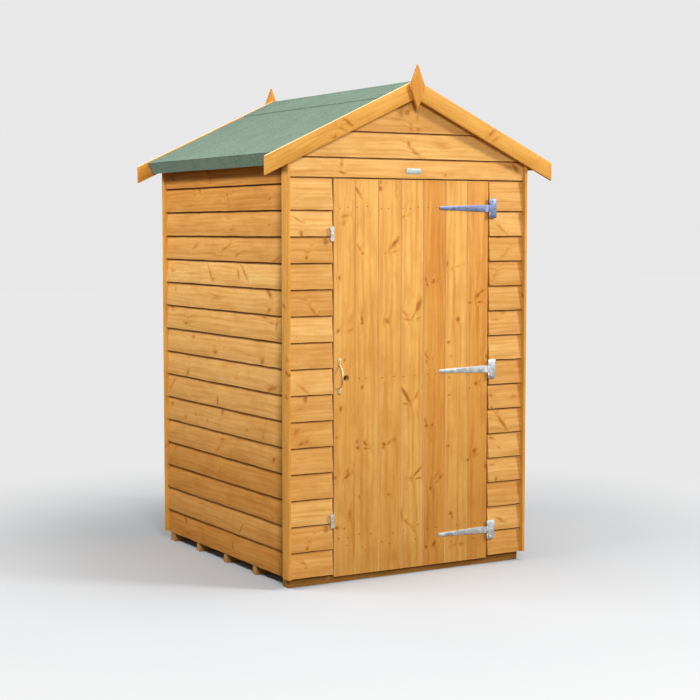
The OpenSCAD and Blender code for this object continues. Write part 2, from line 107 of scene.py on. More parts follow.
# Chance knots: the length and width that they are scattered over, and the mean distance between them
LAPPED_EACH, FRAMING_EACH = 260.0, 520.0
RAFTER_KNOTS, BRACE_KNOTS = (600.0, 45.0, 420.0), (900.0, 60.0, 420.0)
TRIM_KNOTS, BACK_BARGE_KNOTS = (1740.0, TRIM_W, 500.0), (770.0, BARGE_W, 380.0)
SMOOTH_UNDER = math.radians(35)

# Camera: place in m, degrees down from level and round from facing +Y
CAMERA_AT, CAMERA_DIP, CAMERA_TURN, LENS = (-3.5527, -6.1868, 1.4603), 4.38, -30.28, 81.185


# ---------------------------------------------------------------- bench work

def mode(name):
    bpy.ops.object.mode_set(mode=name)


def clear_bench():
    """Leaves edit mode and lets go of every piece."""
    if bpy.context.mode != "OBJECT":
        mode("OBJECT")
    bpy.ops.object.select_all(action="DESELECT")


def take_up(*pieces):
    """Selects some pieces; the first is the one being worked on."""
    clear_bench()
    for piece in pieces:
        piece.select_set(True)
    bpy.context.view_layer.objects.active = pieces[0]


def pick(kind, test):
    """In edit mode, selects the corners, edges or faces that pass a test."""
    bpy.ops.mesh.select_mode(type=kind)
    bpy.ops.mesh.select_all(action="DESELECT")
    shape = bmesh.from_edit_mesh(bpy.context.edit_object.data)
    for part in {"VERT": shape.verts, "EDGE": shape.edges, "FACE": shape.faces}[kind]:
        if test(part):
            part.select_set(True)
    shape.select_flush_mode()
    bmesh.update_edit_mesh(bpy.context.edit_object.data)


def runs_along(axis):
    """A test for edges that run along one axis, more or less."""
    def test(edge):
        way = edge.verts[1].co - edge.verts[0].co
        return abs(way[axis]) > 0.8 * way.length
    return test


def edge_on(y):
    """A test for edges that lie in one upright plane."""
    return lambda e: all(abs(v.co.y - y * MM) < 0.05 * MM for v in e.verts)


def settle(piece):
    """Puts a piece's place, turn and size into its mesh."""
    take_up(piece)
    bpy.ops.object.transform_apply(location=True, rotation=True, scale=True)
    return piece


def squared(low, high):
    """Squared stuff between two corners."""
    clear_bench()
    bpy.ops.mesh.primitive_cube_add(size=1)
    piece = bpy.context.object
    piece.location = [(a + b) / 2 * MM for a, b in zip(low, high)]
    piece.scale = [(b - a) * MM for a, b in zip(low, high)]
    return settle(piece)


def turned(radius, y0, y1, x, z, sides):
    """Round stuff with its axis along Y."""
    clear_bench()
    bpy.ops.mesh.primitive_cylinder_add(
        vertices=sides, radius=radius * MM, depth=abs(y1 - y0) * MM,
        location=(x * MM, (y0 + y1) / 2 * MM, z * MM), rotation=(math.pi / 2, 0, 0))
    return settle(bpy.context.object)


def copy_of(piece, move):
    """A copy with its own mesh, moved."""
    take_up(piece)
    bpy.ops.object.duplicate(linked=False)
    other = bpy.context.object
    other.location = [d * MM for d in move]
    return settle(other)


def ease(piece, test, width, rounds=2):
    """Takes the sharpness off the edges that pass a test."""
    take_up(piece)
    mode("EDIT")
    pick("EDGE", test)
    bpy.ops.mesh.bevel(offset=width * MM, segments=rounds, affect="EDGES")
    mode("OBJECT")
    return piece


def saw(piece, point, outward):
    """Saws off what lies past a plane and closes the cut."""
    take_up(piece)
    mode("EDIT")
    bpy.ops.mesh.select_all(action="SELECT")
    bpy.ops.mesh.bisect(plane_co=[c * MM for c in point], plane_no=outward,
                        use_fill=True, clear_outer=True)
    mode("OBJECT")
    return piece


def saw_under_roof(piece, drop=SEAT, sides=(-1, 1)):
    """Saws a piece off under the roof panels, on one or both slopes."""
    for side in sides:
        saw(piece, (0, 0, RIDGE_Z - drop), (side * math.sin(PITCH), 0, math.cos(PITCH)))
    return piece


def lean(piece, side):
    """Lays a piece that was drawn along a level slope on the right or left slope of the roof."""
    piece.rotation_euler = (0, PITCH, 0)
    piece.location = (0, 0, RIDGE_Z * MM)
    settle(piece)
    if side < 0:
        piece.rotation_euler = (0, 0, math.pi)
        settle(piece)
    return piece


def drill(piece, cutter):
    """Cuts one piece out of another and keeps the cutter."""
    take_up(piece)
    cut = piece.modifiers.new("hole", "BOOLEAN")
    cut.operation, cut.solver, cut.object = "DIFFERENCE", "EXACT", cutter
    bpy.ops.object.modifier_apply(modifier="hole")
    return piece


def scrap(*pieces):
    for piece in pieces:
        bpy.data.objects.remove(piece, do_unlink=True)


def put_in_place(name, parts, material, body, slot, *nodes):
    """Joins some parts to one finished piece and says what it is."""
    take_up(*parts)
    if len(parts) > 1:
        bpy.ops.object.join()
    piece = bpy.context.object
    piece.name = piece.data.name = name
    piece.data.materials.append(material)
    bpy.ops.object.shade_smooth_by_angle(angle=SMOOTH_UNDER)
    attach(piece, body)
    if nodes:
        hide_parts(*nodes)


# ---------------------------------------------------------------- timber

def mark(piece, name, values, domain="POINT"):
    """Writes a number on each corner or face of a piece, for its finish to read."""
    piece.data.attributes.new(name, "FLOAT", domain).data.foreach_set("value", values)


def give_grain(piece, along, across, luck, knots=(), tone=None, origin=None):
    """Gives a board its own grain: a place in its log, a tone, and the places of its knots.

    A knot is (place along the board, place across it, half length, half width, lean in degrees
    from the board's length, depth of colour from 0 to 1). Places are measured from the board's
    start and middle line, or from the shed's own origin where origin is (0, 0).
    """
    along, across = Vector(along).normalized(), Vector(across).normalized()
    axes = (along, across, along.cross(across))
    spots = [[v.co.dot(axis) for axis in axes] for v in piece.data.vertices]
    if origin is None:
        sides = [s[1] for s in spots]
        origin = (min(s[0] for s in spots), (min(sides) + max(sides)) / 2)
    spots = [(s[0] - origin[0], s[1] - origin[1], s[2]) for s in spots]
    log = [luck.uniform(0, 50) for _ in range(3)]
    columns = {"grain": [[s[i] + log[i] for i in range(3)] for s in spots]}
    for n, (run, side, length, width, lean_by, depth) in enumerate(knots):
        c, s = math.cos(math.radians(lean_by)), math.sin(math.radians(lean_by))
        away = [(p[0] - run * MM, p[1] - side * MM) for p in spots]
        # The third number says that a knot is here, and keeps the heart of a faint one from showing
        here = 1 - 1.75 * (1 - depth) / CLEAR
        columns["knot_%d" % (n + 1)] = [
            ((a * c + b * s) / (length * MM), (b * c - a * s) / (width * MM), here) for a, b in away]
    for name, column in columns.items():
        layer = piece.data.attributes.new(name, "FLOAT_VECTOR", "POINT")
        layer.data.foreach_set("vector", [c for spot in column for c in spot])
    mark(piece, "tone", [luck.random() if tone is None else tone] * len(spots))
    return piece


def chance_knots(luck, length, width, each, most=OTHER_KNOTS):
    """Knots scattered along a board, about one to each so many mm."""
    knots = []
    for _ in range(min(most, int(length / each + luck.random()))):
        thick, stretch = luck.uniform(4.0, 9.0), luck.choice((1.1, 1.4, 3.2))
        knots.append((luck.uniform(0.04, 0.96) * length, luck.uniform(-0.4, 0.4) * width, thick * stretch, thick,
                      luck.choice((-1, 1)) * luck.uniform(35, 80), luck.uniform(0.3, 1.0)))
    return knots


def upright(knots):
    """Turns knots that were placed by x, height and lean from level to a standing board's own way."""
    return [(z, x, length, width, 90 - lean_by, depth) for x, z, length, width, lean_by, depth in knots]


def grain_along(piece, axis, luck):
    """Grain along X, Y or Z, with knots by chance."""
    along, across = [Vector((0, 0, 0)) for _ in range(2)]
    sizes = piece.dimensions
    along[axis] = 1
    across[max((i for i in range(3) if i != axis), key=lambda i: sizes[i])] = 1
    width = sizes[0] + sizes[1] + sizes[2] - sizes[axis]
    knots = chance_knots(luck, sizes[axis] / MM, width / MM * 0.6, FRAMING_EACH)
    return give_grain(piece, along, across, luck, knots)


def stick(low, high, axis, luck, easing=1.2):
    """A squared length of timber with eased long edges; its grain runs along one axis."""
    return grain_along(ease(squared(low, high), runs_along(axis), easing), axis, luck)


def lapped_boards(half, courses, x0, x1, turn, luck, nails_at, knots=None, tones=None, saw_top=False):
    """One wall's lapped boards, drawn on the front and turned to their wall.

    Each course is the height of a board's lower edge and how much of it shows. Knots are placed by
    x, height and lean from level on the drawn wall.
    """
    boards, masters = [], {}
    slant = PROUD - BOARD_T
    for n, (z0, rise) in enumerate(courses):
        if rise not in masters:
            master = squared((x0, -half - PROUD, 0), (x1, -half - BOARD_T - LAP_PLAY, rise + HIDDEN_LAP))
            mode("EDIT")
            pick("VERT", lambda v: v.co.z > rise / 2 * MM)
            # The board thins towards its upper edge and leans back against the one above
            bpy.ops.transform.resize(value=(1, THIN_END / (slant - LAP_PLAY), 1),
                                     center_override=(0, (-half - PROUD) * MM, 0))
            bpy.ops.transform.translate(value=(0, slant * (rise + HIDDEN_LAP) / rise * MM, 0))
            pick("EDGE", runs_along(0))
            bpy.ops.mesh.subdivide(number_cuts=max(2, round((x1 - x0) / 60)))
            mode("OBJECT")
            masters[rise] = master
        board = copy_of(masters[rise], (0, 0, z0))
        mode("EDIT")
        # Sawn edges are never quite straight
        pick("VERT", lambda v: v.co.z < (z0 + 1) * MM)
        bpy.ops.transform.vertex_random(offset=EDGE_WANDER * MM, uniform=1.0, normal=0.0, seed=n + int(x1))
        mode("OBJECT")
        ease(board, runs_along(0), BOARD_EASE)
        if saw_top:
            saw_under_roof(board)
        if knots is None:
            here = [(x0 + k[0], z0 + LAP / 2 + k[1], *k[2:])
                    for k in chance_knots(luck, x1 - x0, LAP, LAPPED_EACH, LAPPED_KNOTS)]
        else:
            here = [k for k in knots if z0 <= k[1] < z0 + rise][:LAPPED_KNOTS]
        give_grain(board, (1, 0, 0), (0, 0, 1), luck, here, None if tones is None else tones[n], (0, 0))
        # Height on the board, 100 just under the lap of the next one; the finish paints shade under the lap from it
        mark(board, "lap", [100 - z0 - rise + v.co.z / MM for v in board.data.vertices])
        board.rotation_euler = (0, 0, turn)
        boards.append(settle(board))
        for x in nails_at:
            if not saw_top or abs(x) < (RIDGE_Z - z0 - 90) / math.tan(PITCH):
                head = copy_of(WALL_NAIL, (x + luck.uniform(-4, 4), -half - PROUD + slant * NAIL_UP / rise,
                                           z0 + NAIL_UP + luck.uniform(-3, 3)))
                head.rotation_euler = (0, 0, turn)
                wall_nails.append(settle(head))
    scrap(*masters.values())
    return boards


# ---------------------------------------------------------------- finishes

def colour(hexed):
    """Turns an sRGB hex value to the linear colour that a shader wants."""
    parts = [int(hexed[i:i + 2], 16) / 255 for i in (1, 3, 5)]
    return (*[p / 12.92 if p <= 0.04045 else ((p + 0.055) / 1.055) ** 2.4 for p in parts], 1.0)


def node(tree, kind, links=(), stops=(), **settings):
    """Adds one node with its settings, its ramp stops and its links."""
    made = tree.nodes.new(kind)
    for name, value in settings.items():
        setattr(made, name, value)
    for n, (place, shade) in enumerate(stops):
        ramp = made.color_ramp.elements
        stop = ramp[n] if n < 2 else ramp.new(place)
        stop.position, stop.color = place, colour(shade)
    for socket, value in dict(links).items():
        if isinstance(value, bpy.types.NodeSocket):
            tree.links.new(value, made.inputs[socket])
        else:
            made.inputs[socket].default_value = value
    return made


def sums(tree, way, *values):
    """Works with numbers."""
    return node(tree, "ShaderNodeMath", enumerate(values), operation=way).outputs[0]


def vectors(tree, way, *values):
    """Works with places and directions."""
    return node(tree, "ShaderNodeVectorMath", enumerate(values), operation=way).outputs[0]


def far_from_zero(tree, place):
    return node(tree, "ShaderNodeVectorMath", {0: place}, operation="LENGTH").outputs["Value"]


def spread(tree, value, low, high, first=0.0, last=1.0, way="LINEAR"):
    """Takes the range between two values to another range."""
    return node(tree, "ShaderNodeMapRange", {"Value": value, "From Min": low, "From Max": high,
                                             "To Min": first, "To Max": last}, interpolation_type=way).outputs[0]


def attribute(tree, name):
    """What a piece's own marks say."""
    return node(tree, "ShaderNodeAttribute", attribute_name=name).outputs


def own_place(tree):
    return node(tree, "ShaderNodeTexCoord").outputs["Object"]


def noise(tree, place, scale, detail, roughness=0.5):
    return node(tree, "ShaderNodeTexNoise", {"Vector": place, "Scale": scale, "Detail": detail,
                                             "Roughness": roughness}).outputs


def bands(tree, place, way, spacing, distortion, fineness):
    """Wavering bands, one to so many mm."""
    return node(tree, "ShaderNodeTexWave", {"Vector": place, "Scale": 2 * math.pi / 20 / (spacing * MM),
                                            "Distortion": distortion, "Detail": 2.0, "Detail Scale": fineness},
                bands_direction=way).outputs["Fac"]


def shades(tree, value, *stops):
    """Colours along a range; its two ends come first."""
    return node(tree, "ShaderNodeValToRGB", {"Fac": value}, stops).outputs[0]


def over(tree, amount, under, upper, way="MIX"):
    """Lays one colour over another."""
    return node(tree, "ShaderNodeMix", {0: amount, 6: under, 7: upper}, data_type="RGBA", blend_type=way).outputs[2]


def relief(tree, height, strength, depth):
    """A bump so many mm deep."""
    return node(tree, "ShaderNodeBump", {"Height": height, "Strength": strength, "Distance": depth * MM}).outputs[0]


def new_finish(name):
    finish = bpy.data.materials.new(name)
    finish.use_nodes = True
    finish.node_tree.nodes.clear()
    return finish, finish.node_tree


def close_finish(tree, shade, rough, bump, **others):
    """Ends a finish with its shader."""
    shader = node(tree, "ShaderNodeBsdfPrincipled",
                  {"Base Color": shade, "Roughness": rough, "Normal": bump, **others})
    node(tree, "ShaderNodeOutputMaterial", {"Surface": shader.outputs[0]})


def softwood(name, pale, warm, late, darkest, streak, line, sawn, roughness, knots=OTHER_KNOTS):
    """Pine that was dipped in a golden preservative.

    The stain lets the grain through: pale early wood, darker late wood in streaks along the
    board, orange round the knots. Real growth rings are 2 to 4 mm apart, too fine to show in
    the render, so streaks and lines are drawn as wide as the values given.
    """
    finish, tree = new_finish(name)
    late_wood = colour(late)
    grain = attribute(tree, "grain")["Vector"]
    tone, lap, beside, paler = [attribute(tree, own)["Fac"] for own in ("tone", "lap", "beside", "paler")]
    sway = noise(tree, vectors(tree, "MULTIPLY", grain, (3.0, 16.0, 16.0)), 1.0, 2.0)["Fac"]
    quick = noise(tree, grain, 70.0, 2.0)
    wobble = vectors(tree, "MULTIPLY_ADD", quick["Color"], (1.5, 1.5, 0.0), (-0.75, -0.75, CLEAR))
    near = None
    for n in range(knots):
        spot = attribute(tree, "knot_%d" % (n + 1))["Vector"]
        far = far_from_zero(tree, vectors(tree, "MULTIPLY_ADD", spot, (1.0, 1.0, -CLEAR), wobble))
        near = far if near is None else sums(tree, "MINIMUM", near, far)

    # The grain swings round each knot
    pull = spread(tree, near, 0.5, 4.0, 0.014, 0.0, "SMOOTHSTEP")
    aside = sums(tree, "MULTIPLY_ADD", sway, 0.03, pull)
    bent = vectors(tree, "ADD", grain, node(tree, "ShaderNodeCombineXYZ", {"Y": aside}).outputs[0])
    across = 1 / (streak * MM)
    streaks = noise(tree, vectors(tree, "MULTIPLY", bent, (across / 24, across, across)), 1.0, 4.0, 0.6)["Fac"]
    rings = bands(tree, vectors(tree, "MULTIPLY", bent, (0.08, 1.0, 0.4)), "Y", line, 5.0, 0.6)
    stain = noise(tree, vectors(tree, "MULTIPLY", grain, (6.0, 14.0, 14.0)), 1.0, 6.0, 0.68)["Fac"]

    wood = shades(tree, streaks, (0.22, late), (0.8, pale), (0.5, warm))
    wood = over(tree, sums(tree, "MULTIPLY", sums(tree, "POWER", rings, 3.0), 0.24), wood, late_wood)
    wood = over(tree, spread(tree, stain, 0.46, 0.68, 0.0, 0.52), wood, late_wood)
    wood = over(tree, 1.0, wood, shades(tree, tone, (0.0, darkest), (1.0, "#FFFFFF")), "MULTIPLY")

    # Knots: dark heart, darker rim, orange halo
    third = sums(tree, "MULTIPLY", near, 1 / 3)
    heart = shades(tree, third, (0.0, "#8E4A0A"), (0.8, "#D8943A"), (0.14, "#A65A10"), (0.28, "#92500C"),
                   (0.4, "#BC6E1A"), (0.56, "#CC822A"))
    show = shades(tree, third, (0.0, "#F0F0F0"), (0.9, "#000000"), (0.18, "#E6E6E6"), (0.34, "#C4C4C4"),
                  (0.5, "#8C8C8C"))
    wood = over(tree, show, wood, heart)

    # Painted highlight: upward faces are pale as if lit from above, and so are faces that are marked paler
    facing = node(tree, "ShaderNodeNewGeometry").outputs["Normal"]
    upward = node(tree, "ShaderNodeSeparateXYZ", {0: facing}).outputs["Z"]
    painted_highlight = sums(tree, "MAXIMUM", spread(tree, upward, 0.55, 0.8, 0.0, 0.85), paler)
    wood = over(tree, painted_highlight, wood, colour("#FFE8B4"))

    # Painted shade: lapped boards are dark under each lap and beside the front trims, where these shade them
    wood = over(tree, spread(tree, lap, 91.0, 98.0, 0.0, 0.8, "SMOOTHSTEP"), wood, colour("#56290A"))
    # Painted shadow of the front trims on the side boards
    wood = over(tree, spread(tree, beside, 40.0, 125.0, 0.0, 0.62, "SMOOTHSTEP"), wood, colour("#5E3209"))

    # Saw marks stand across the board; they are drawn wider than the real 2 to 3 mm
    marks = bands(tree, vectors(tree, "MULTIPLY", grain, (1.0, 0.12, 0.12)), "X", 9.0, 7.0, 0.5)
    wood = over(tree, sums(tree, "MULTIPLY", marks, 0.12 * sawn), wood, late_wood)
    height = sums(tree, "MULTIPLY_ADD", marks, sawn, streaks)
    height = sums(tree, "MULTIPLY_ADD", quick["Fac"], 0.5 * sawn, height)
    rough = spread(tree, streaks, 0.2, 0.8, roughness + 0.08, roughness - 0.08)
    close_finish(tree, wood, rough, relief(tree, height, 0.4, 0.6), **{"IOR": 1.48, "Specular IOR Level": 0.15})
    return finish


def strand_board():
    """Oriented strand board: flakes of wood about 70 by 15 mm, pressed flat and waxed."""
    finish, tree = new_finish("oriented_strand_board")
    place = own_place(tree)
    layers = []
    for n, turn in enumerate((20.0, -50.0, 95.0)):
        way = node(tree, "ShaderNodeMapping", {
            "Vector": place, "Location": (3.1 * n, 1.7 * n, 0.9 * n),
            "Rotation": (0.0, 0.0, math.radians(turn)), "Scale": (14.0, 60.0, 60.0)}).outputs[0]
        layers.append(node(tree, "ShaderNodeTexVoronoi", {"Vector": way, "Scale": 1.0, "Randomness": 1.0}).outputs)
    first = sums(tree, "GREATER_THAN", noise(tree, place, 26.0, 2.0)["Fac"], 0.5)
    mixed = over(tree, first, layers[0]["Color"], layers[1]["Color"])
    mixed = over(tree, sums(tree, "LESS_THAN", layers[2]["Distance"], 0.33), mixed, layers[2]["Color"])
    flake = node(tree, "ShaderNodeSeparateColor", {0: mixed}).outputs[0]
    shade = shades(tree, flake, (0.0, "#9A7345"), (1.0, "#DCBC8A"), (0.35, "#BC935C"), (0.7, "#CFA970"))
    close_finish(tree, shade, 0.62, relief(tree, flake, 0.4, 0.6), IOR=1.48)
    return finish


def mineral_felt():
    """Bitumen felt with green slate granules rolled into it: matt, gritty, slightly blotched.

    The granules are about 1 mm; they are drawn 4 mm across so that they show.
    """
    finish, tree = new_finish("green_mineral_felt")
    place = own_place(tree)
    grit = node(tree, "ShaderNodeTexVoronoi", {"Vector": place, "Scale": 1 / (4 * MM)}).outputs["Color"]
    speck = node(tree, "ShaderNodeSeparateColor", {0: grit}).outputs[0]
    cloud = noise(tree, place, 9.0, 5.0, 0.65)["Fac"]
    blend = sums(tree, "MULTIPLY_ADD", cloud, 0.5, sums(tree, "MULTIPLY", speck, 0.5))
    shade = shades(tree, blend, (0.15, "#4F6356"), (0.85, "#83967F"), (0.4, "#62786A"), (0.62, "#708574"))
    close_finish(tree, shade, 0.93, relief(tree, speck, 0.5, 0.9), **{"Specular IOR Level": 0.3})
    return finish


def plated_steel(name, pale, deep, roughness):
    """Pressed metal with a plated or rolled surface: a fine milky bloom over a soft shine."""
    finish, tree = new_finish(name)
    bloom = noise(tree, own_place(tree), 38.0, 3.0)["Fac"]
    shade = shades(tree, bloom, (0.3, deep), (0.75, pale))
    rough = spread(tree, bloom, 0.3, 0.7, roughness - 0.08, roughness + 0.1)
    close_finish(tree, shade, rough, relief(tree, bloom, 0.1, 0.1), Metallic=1.0)
    return finish


# Name, early wood, middle tone, late wood, tint of the darkest boards, width of streaks and lines in mm,
# strength of the saw marks, roughness
SAWN_PINE = softwood("dip_treated_sawn_pine", "#F8CE86", "#F0BC6E", "#D29446", "#DDC39C",
                     15.0, 19.0, 1.0, 0.68, LAPPED_KNOTS)
PLANED_PINE = softwood("dip_treated_planed_pine", "#F2C470", "#E8B15C", "#CB893C", "#E4C292",
                       19.0, 26.0, 0.15, 0.6, DOOR_KNOTS)
TRIM_PINE = softwood("dip_treated_planed_trim", "#EEB95F", "#E5AB50", "#CA8B38", "#E2C49A", 10.0, 15.0, 0.3, 0.56)
FRAMING = softwood("sawn_framing_softwood", "#E9C58C", "#DDB375", "#C4924F", "#D8BC98", 11.0, 14.0, 0.9, 0.72)
# Painted shade: the front bearer's wood is darker, for the shade under the door
SHADED_BEARER_PINE = softwood("shaded_bearer_softwood", "#BC8E4A", "#AE803E", "#946A2E", "#D8BC98", 11.0, 14.0, 0.9, 0.72)
STRAND_BOARD = strand_board()
FELT = mineral_felt()
ZINC = plated_steel("bright_zinc_plated_steel", "#E2E5E8", "#C8CCD0", 0.48)
SATIN_PLATE = plated_steel("satin_aluminium_plate", "#B8C0BF", "#A8B0AF", 0.6)
BLUE_ZINC = plated_steel("blue_passivated_zinc_steel", "#8F98B7", "#7882A4", 0.48)
# Painted reflection: the handle's zinc is tinted warm like the wood that it reflects
WARM_REFLECTION_ZINC = plated_steel("warm_reflection_zinc_steel", "#F0DDB8", "#D2BA8E", 0.42)
NAIL = plated_steel("dulled_nail_steel", "#7C6040", "#5A4026", 0.55)
DIPPED_NAIL = plated_steel("dip_coated_nail_steel", "#B98A48", "#9C7034", 0.6)


# ---------------------------------------------------------------- patterns for nails and screws

def nail_head(radius):
    """A flat nail head at the origin, facing -Y."""
    head = turned(radius, 0.6, -0.3, 0, 0, 10)
    return ease(head, lambda e: all(v.co.y < -0.2 * MM for v in e.verts), 0.4, 1)


def screw_head():
    """A raised countersunk head with a cross recess, at the origin, facing -Y."""
    head = turned(4.2, 0.3, -1.5, 0, 0, 20)
    ease(head, lambda e: all(v.co.y < -1.4 * MM for v in e.verts), 1.1, 3)
    for long_way, tall_way in ((2.6, 0.5), (0.5, 2.6)):
        slot = squared((-long_way, -3.0, -tall_way), (long_way, -0.9, tall_way))
        drill(head, slot)
        scrap(slot)
    return head


NAIL_UP = 26.0
WALL_NAIL, DOOR_NAIL, SCREW_HEAD = nail_head(1.6), nail_head(2.6), screw_head()
wall_nails = []


# ---------------------------------------------------------------- walls

def spans(first, last):
    """Lower edge and showing height of the lapped boards from one course to another."""
    return [(CLAD_BOTTOM + LAP * n, LAP) for n in range(first, last)]


def clad(name, boards):
    put_in_place(name + "_boards", boards, SAWN_PINE, "shed", "lapped_boards", name + "_cladding")


luck = random.Random(41)
# The top board of a strip ends at the head of the door, and the gable's lowest one starts there
strip_top, gable_top = [CLAD_BOTTOM + LAP * n for n in (STRIP_BOARDS - 1, SIDE_BOARDS - 1)]
strip_spans = [*spans(0, STRIP_BOARDS - 1), (strip_top, HEAD_Z - strip_top)]
# The gable's topmost board is as wide as two and runs up to the point
gable_spans = [(HEAD_Z, gable_top - HEAD_Z), *spans(SIDE_BOARDS - 1, GABLE_BOARDS - 2),
               (CLAD_BOTTOM + LAP * (GABLE_BOARDS - 2), 2 * LAP)]

# The conspicuous knots, by place: x (from back to front on the left wall), height, half length, half width,
# lean from level, depth of colour. Tones run from the lowest board up, 0 brown to 1 pale.
LEFT_WALL_KNOTS = (
    (-534, 1690, 14, 10, 0, 0.6), (-132, 1678, 26, 9, -40, 0.5), (-312, 1630, 28, 7, -50, 0.45),
    (-256, 1633, 32, 7, -40, 0.5), (36, 1600, 38, 7, -55, 0.45), (52, 1629, 24, 5, -55, 0.35),
    (430, 1586, 12, 6, 20, 0.65), (-268, 1528, 10, 8, 0, 0.35), (36, 1510, 14, 6, -20, 0.3),
    (84, 1457, 12, 4, 0, 0.45), (424, 1478, 10, 4, 0, 0.5), (-296, 1382, 28, 6, 25, 0.5), (12, 1378, 32, 6, 20, 0.6),
    (44, 1390, 20, 6, 40, 0.45), (132, 1350, 14, 6, 30, 0.5), (492, 1336, 32, 6, 20, 0.5),
    (-548, 1273, 14, 12, 0, 0.35), (-140, 1270, 44, 5, -48, 0.5), (-108, 1244, 14, 6, 0, 0.55),
    (140, 1270, 22, 7, -60, 0.55), (196, 1277, 50, 6, -40, 0.55), (-520, 1182, 9, 7, 30, 0.4),
    (-68, 1166, 28, 8, 0, 0.25), (412, 1200, 36, 10, -35, 0.75), (428, 1126, 22, 7, 35, 0.6),
    (-560, 1096, 14, 9, 0, 0.45), (-388, 1070, 12, 8, 0, 0.3), (-396, 1034, 15, 5, 0, 0.6),
    (372, 1096, 28, 6, 0, 0.5), (484, 1070, 24, 9, 90, 0.5), (444, 1074, 18, 5, -10, 0.4),
    (-330, 975, 11, 7, 0, 0.65), (-88, 922, 19, 9, 0, 0.6), (-60, 974, 12, 7, 0, 0.3), (368, 914, 13, 12, 0, 0.65),
    (-380, 806, 18, 8, 70, 0.6), (-380, 878, 16, 5, 0, 0.35), (448, 806, 32, 12, 15, 0.5), (476, 810, 10, 9, 0, 0.55),
    (120, 830, 12, 11, 0, 0.25), (-552, 750, 42, 6, 45, 0.45), (-68, 706, 20, 8, -70, 0.65),
    (-566, 650, 14, 8, 10, 0.7), (-300, 626, 12, 5, 0, 0.55), (-406, 602, 16, 7, 0, 0.45),
    (-176, 606, 12, 5, 0, 0.45), (-32, 662, 16, 12, 90, 0.6), (216, 610, 12, 5, 0, 0.55), (368, 594, 8, 6, 60, 0.5),
    (380, 654, 6, 5, 0, 0.5), (-32, 542, 20, 10, 0, 0.45), (-68, 494, 26, 8, 30, 0.45), (462, 512, 13, 9, 0, 0.9),
    (-532, 446, 18, 7, 30, 0.5), (-48, 402, 16, 13, 0, 0.4), (-44, 378, 12, 7, 0, 0.35), (-508, 262, 22, 5, 0, 0.4),
    (36, 286, 20, 6, 0, 0.35), (484, 298, 20, 16, 0, 0.3), (452, 266, 12, 6, 0, 0.45), (156, 174, 24, 5, 55, 0.55),
    (-116, 234, 16, 7, 0, 0.3), (-252, 152, 12, 6, 0, 0.35), (-428, 122, 22, 9, -40, 0.75),
    (-388, 66, 22, 9, 0, 0.45), (72, 82, 20, 7, -60, 0.6), (512, 122, 16, 7, -45, 0.5))
# Partly painted shade: the lowest boards and the top ones under the eaves have darker tones; the others differ as
# boards do
LEFT_WALL_TONES = (0.0, 0.3, 0.1, 0.1, 0.4, 0.55, 0.65, 0.8, 0.75, 0.75, 0.75, 1.0, 0.45, 0.35, 0.1, 0.05, 0.0)
LEFT_STRIP_KNOTS = (
    (-537, 1500, 20, 4, -25, 0.55), (-522, 1442, 11, 6, 90, 0.65), (-497, 1345, 11, 6, 80, 0.55),
    (-482, 1380, 24, 5, 50, 0.3), (-470, 1134, 26, 6, -50, 0.5), (-510, 812, 32, 5, -40, 0.45),
    (-500, 772, 14, 8, 80, 0.65), (-527, 732, 12, 4, 0, 0.4), (-545, 640, 24, 13, 60, 0.45),
    (-522, 592, 18, 7, 10, 0.55), (-497, 600, 9, 7, 60, 0.55), (-527, 530, 14, 4, 0, 0.3),
    (-497, 162, 8, 6, 40, 0.75), (-482, 190, 20, 4, 50, 0.3), (-512, 100, 14, 4, -15, 0.55), (-502, 80, 7, 5, 0, 0.45))
LEFT_STRIP_TONES = (0.5, 0.35, 0.8, 0.45, 0.5, 0.45, 0.45, 0.85, 0.5, 0.95, 0.3, 0.5, 0.4, 0.9, 0.9)
RIGHT_STRIP_KNOTS = (
    (464, 1462, 38, 5, -40, 0.45), (454, 1426, 22, 4, 0, 0.6), (480, 1352, 28, 5, 45, 0.35),
    (429, 1255, 28, 6, 55, 0.3), (439, 1070, 12, 4, 0, 0.4), (479, 1095, 10, 5, 0, 0.4), (414, 740, 12, 5, -10, 0.55),
    (539, 730, 16, 7, 10, 0.45), (417, 687, 5, 4, 0, 0.75), (476, 618, 40, 7, -55, 0.7), (424, 552, 14, 5, -15, 0.7),
    (459, 510, 8, 4, -20, 0.5), (424, 435, 12, 4, -10, 0.45), (444, 371, 10, 6, 60, 0.65),
    (470, 190, 20, 5, -25, 0.55))
RIGHT_STRIP_TONES = (0.35, 0.7, 0.4, 0.65, 0.7, 0.6, 0.5, 0.45, 0.85, 0.6, 0.5, 0.45, 0.5, 0.9, 0.6)
GABLE_KNOTS = (
    (-17, 1944, 13, 11, 20, 0.8), (31, 1924, 14, 7, 90, 0.45), (-1, 1882, 20, 7, 90, 0.4), (34, 1876, 9, 7, 60, 0.45),
    (-9, 1812, 15, 6, 100, 0.6), (19, 1780, 26, 7, -35, 0.55), (155, 1812, 28, 9, 0, 0.25),
    (-331, 1724, 14, 6, 80, 0.5), (-333, 1690, 13, 5, -20, 0.6), (171, 1690, 9, 4, 60, 0.55),
    (539, 1724, 19, 9, -50, 0.75), (507, 1728, 20, 7, 0, 0.4))
# Painted shade: the top board, under the bargeboards and finial, has a darker tone
GABLE_TONES = (0.85, 0.85, 0.5)

